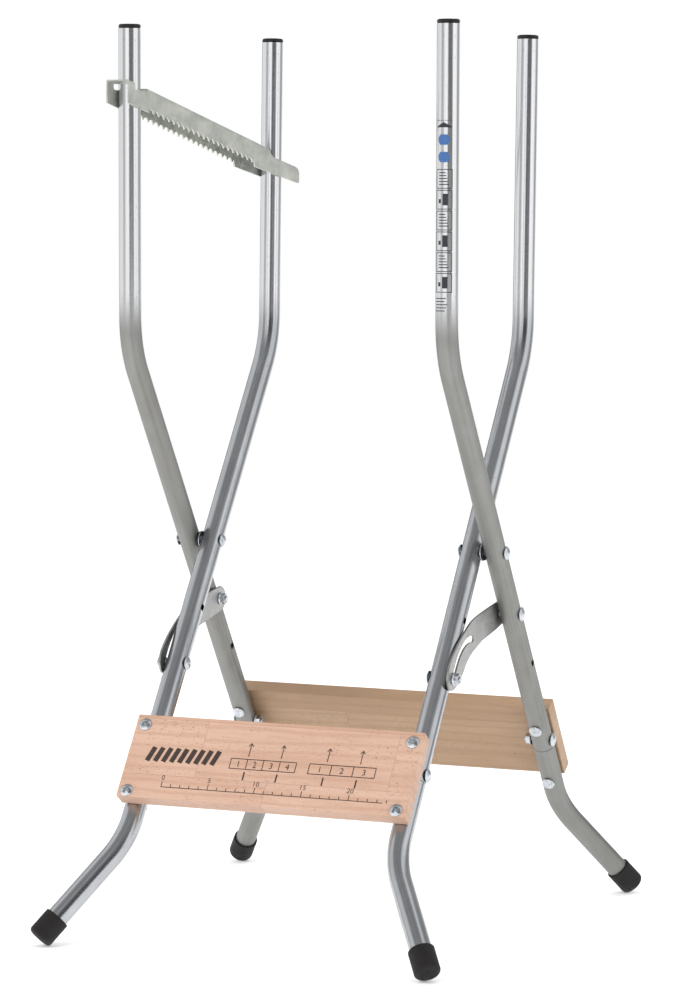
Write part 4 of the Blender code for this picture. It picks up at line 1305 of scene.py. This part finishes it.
def buildPivot(side):
    sign = sides[side]
    middle = (tube["outerX"] + tube["innerX"]) / 2
    place = placeAt(np.array([sign * middle, 0, pivotHeight]), (sign, 0, 0))
    high = tube["outerX"] - middle + tube["radius"] + air
    low = tube["innerX"] - middle - tube["radius"] - air
    head = np.array(headProfile(rivetLook["radius"], rivetLook["height"]))
    upper = head + [0, high]
    lower = (head * [1, -1] + [0, low])[::-1]
    profile = np.vstack([upper, [(rivetLook["shank"], high), (rivetLook["shank"], low)], lower])
    addPiece(f"pivot_domed_rivet_{side}", lathe("domedRivet", profile, place, 56), finishes["fastener"],
             "inner_frame", [f"pivot_rivet_{side}"])
    half = tube["legGap"] / 2 - air
    split = -half + 0.9 * mm
    ring = rivetLook["shank"] + air
    e = 0.15 * mm
    for name, r1, z0, z1, finish, stands, slot in (
        ("pivot_steel_washer", rivetLook["washer"], -half, split,
         "fastener", "pivot_washer", "zinc_fastener"),
        ("pivot_black_spacer", rivetLook["spacer"], split + air, half,
         "plastic", "pivot_spacer", "black_plastic"),
    ):
        profile = [(ring, z1), (r1 - e, z1), (r1, z1 - e), (r1, z0 + e),
                   (r1 - e, z0), (ring, z0), (ring, z1)]
        addPiece(f"{name}_{side}", lathe(name, profile, place, 56), finishes[finish],
                 "inner_frame", [f"{stands}_{side}"])


labelLook = {
    "low": 0.626, "high": 0.808, "facing": math.radians(-90), "half": math.radians(47),
    "lift": 0.05 * mm, "stroke": 0.75 * mm, "cells": 6,
}


def curvedInk(a0, a1, z0, z1):
    # a patch wrapped on the prong between two angles from the label's middle and two heights
    look = labelLook
    angles = look["facing"] + np.linspace(a0, a1, max(3, int(abs(a1 - a0) / 0.08) + 2))
    heights = np.linspace(z0, z1, max(2, int((z1 - z0) / (6 * mm)) + 2))
    base = np.array([prongPoint("outer", 1, h) for h in heights])
    spread = np.stack([np.cos(angles), np.sin(angles), 0 * angles], -1)
    top, under = (base[:, None] + spread[None] * (tube["radius"] + d) for d in (look["lift"], -0.06 * mm))
    # a closed band round the patch: over the top, back underneath, both sides shut on their middle
    band = np.concatenate([top, under[::-1], top[:1]])
    shut = (top + under) / 2
    ends = [np.concatenate([shut[:, k], shut[::-1, k], shut[:1, k]])[:, None] for k in (0, -1)]
    return surface("inkPatch", np.concatenate([ends[0], band, ends[1]], 1))


def buildLabel():
    look = labelLook
    half, stroke = look["half"], look["stroke"]
    turn = stroke / tube["radius"]
    dark, blue = [], []
    height = (look["high"] - look["low"]) / 9.2
    base = look["low"] + 0.018
    for i in range(look["cells"]):
        z0 = base + i * height
        z1 = z0 + height * 0.94
        for a, b, c, d in ((-half, half, z0, z0 + stroke), (-half, half, z1 - stroke, z1),
                           (-half, -half + turn, z0, z1), (half - turn, half, z0, z1)):
            dark.append(curvedInk(a, b, c, d))
        if i % 2:  # plain hatching
            for k in range(5):
                z = z0 + height * (0.18 + 0.14 * k)
                dark.append(curvedInk(-half * 0.55, half * (0.55 - 0.08 * k), z, z + stroke * 1.3))
        else:  # a bar and a dot
            dark.append(curvedInk(-half * 0.1, half * 0.5, z0 + height * 0.2, z0 + height * 0.76))
            dark.append(curvedInk(-half * 0.6, -half * 0.3, z0 + height * 0.3, z0 + height * 0.5))
    for k in range(5):  # short rules below
        z = look["low"] + k * 3.0 * mm
        dark.append(curvedInk(-half, half * (0.2 + 0.15 * (k % 3)), z, z + stroke * 1.2))
    for k in range(2):
        z = base + look["cells"] * height + 0.003 + k * 0.0165
        for row in np.linspace(-1, 1, 9):
            wide = math.sqrt(max(0.0, 1 - row * row)) * 0.55 + 0.02
            level = z + 6.5 * mm * (1 + row * 0.86)
            blue.append(curvedInk(-wide, wide, level, level + 1.45 * mm))
    top = look["high"]
    for k in range(9):  # a dashed line at the top, with an arrowhead below it
        a = -half + k * 2 * half / 9
        dark.append(curvedInk(a, a + half / 9, top - stroke, top))
    for k in range(6):
        wide = half * (k + 0.6) / 6
        z = top - 0.003 - k * 0.8 * mm
        dark.append(curvedInk(-wide, wide, z, z + 0.9 * mm))
    addPiece("prong_label_marks", joinMeshes("labelMarks", dark), finishes["labelInk"], "outer_frame")
    addPiece("prong_label_dots", joinMeshes("labelDots", blue), finishes["blueInk"], "outer_frame")


for kind in frames:
    for side in sides:
        buildLeg(kind, side)
        buildFasteners(kind, side)
    print(kind, "frame done")
buildBoard("inner")
buildBoard("outer")
buildPrint()
print("boards done")
for side in sides:
    buildBrace(side)
    buildPivot(side)
buildRail()
print("braces, pivots and rail done")
buildLabel()
print("label done")


stageLook = {"floor": 0.92, "reach": 12.0, "world": 1.0, "glow": 0.1}


def buildStage():
    x = np.linspace(-stageLook["reach"], stageLook["reach"], 2)
    grid = np.stack([*np.meshgrid(x, x), np.zeros((2, 2))], -1)
    mesh = surface("floor", grid)
    material, tree, shader = newMaterial("paleFloor", (stageLook["floor"],) * 3, 0.9)
    setInputs(shader, {"Specular IOR Level": 0.1, "Emission Color": (1, 1, 1, 1),
                       "Emission Strength": stageLook["glow"]})
    mesh.materials.append(material)
    floor = addObject("floor", mesh)
    floor.location.z = -0.4 * mm


lamps = [
    # name, place, aim, size, power
    ("keySoftbox", (-1.6, -2.6, 2.6), (0, 0, 0.5), 1.8, 60),
    ("fillSoftbox", (2.6, -1.4, 1.8), (0, 0, 0.4), 1.6, 22),
    ("backSoftbox", (0.4, 2.6, 2.4), (0, 0, 0.4), 2.2, 40),
]


def buildLamps():
    for name, spot, aim, size, power in lamps:
        light = bpy.data.lights.new(name, "AREA")
        light.shape = "SQUARE"
        light.size = size
        light.energy = power
        obj = addObject(name, light)
        obj.location = spot
        obj.rotation_euler = (Vector(aim) - Vector(spot)).to_track_quat("-Z", "Y").to_euler()
        obj.visible_glossy = False  # reflections come from the surroundings alone


# brightness of the surroundings by compass direction, as shares of a turn from +X towards +Y
surroundings = {
    "bands": [(0.0, 0.95), (0.06, 0.95), (0.10, 0.30), (0.20, 0.42), (0.22, 0.9), (0.27, 0.92),
              (0.285, 0.12), (0.40, 0.16), (0.42, 0.9), (0.50, 0.70), (0.595, 0.85),
              (0.615, 0.40), (0.68, 0.43), (0.70, 0.92), (0.797, 1.0), (0.808, 0.08),
              (0.925, 0.12), (0.950, 1.0)],
    "ceiling": [(0.0, 0.9), (0.07, 0.9), (0.10, 0.32), (0.45, 0.32), (0.49, 0.8), (0.56, 0.8), (0.60, 0.3),
                (0.95, 0.28), (0.98, 0.9), (1.0, 0.9)],
    "strength": 1.3,
}


def buildWorld():
    # a white room with dark flats in it, seen only in reflections; the camera sees plain white
    world = bpy.data.worlds.new("studio")
    bpy.context.scene.world = world
    world.use_nodes = True
    tree = world.node_tree
    tree.nodes.clear()
    out = node(tree, "ShaderNodeOutputWorld")
    plain = node(tree, "ShaderNodeBackground")
    setInputs(plain, {"Color": (1, 1, 1, 1), "Strength": stageLook["world"]})
    flats = node(tree, "ShaderNodeBackground")
    setInputs(flats, {"Strength": surroundings["strength"]})
    direction = axes(tree, node(tree, "ShaderNodeTexCoord").outputs["Generated"])
    turn = sums(tree, "ARCTAN2", direction[1], direction[0])
    share = rangeOf(tree, turn, -math.pi, math.pi, -0.5, 0.5)
    share = sums(tree, "FRACT", sums(tree, "ADD", share, 1.0), 0.0)
    banded = ramp(tree, share, *surroundings["bands"])
    high = rangeOf(tree, direction[2], 0.25, 0.75, 0, 1, True)
    ceiling = ramp(tree, share, *surroundings["ceiling"])
    tree.links.new(blendColours(tree, high, banded, ceiling), flats.inputs["Color"])
    path = node(tree, "ShaderNodeLightPath")
    mix = node(tree, "ShaderNodeMixShader")
    tree.links.new(path.outputs["Is Glossy Ray"], mix.inputs[0])
    tree.links.new(plain.outputs[0], mix.inputs[1])
    tree.links.new(flats.outputs[0], mix.inputs[2])
    tree.links.new(mix.outputs[0], out.inputs["Surface"])


view = {"turn": 22.88, "rise": 4.68, "roll": 0.46, "distance": 3.6875, "aim": (0.0044, 0.0, 0.40305),
        "lens": 130.5, "shiftX": -0.0069, "shiftY": 0.0257}


def buildCamera():
    a, e, roll = (math.radians(view[k]) for k in ("turn", "rise", "roll"))
    back = Vector((math.sin(a) * math.cos(e), -math.cos(a) * math.cos(e), math.sin(e)))
    right = back.cross(Vector((0, 0, -1))).normalized()
    up = back.cross(right)
    leaned = right * math.cos(roll) + up * math.sin(roll)
    upright = up * math.cos(roll) - right * math.sin(roll)
    m = Matrix((leaned, upright, back)).transposed().to_4x4()
    m.translation = Vector(view["aim"]) + back * view["distance"]
    data = bpy.data.cameras.new("camera")
    data.lens = view["lens"]
    data.sensor_width = 36
    data.shift_x = view["shiftX"]
    data.shift_y = view["shiftY"]
    camera = addObject("camera", data)
    camera.matrix_world = m
    bpy.context.scene.camera = camera


buildStage()
buildLamps()
buildWorld()
buildCamera()
bpy.context.scene.view_settings.view_transform = "Standard"
print("stage, lamps and camera done")
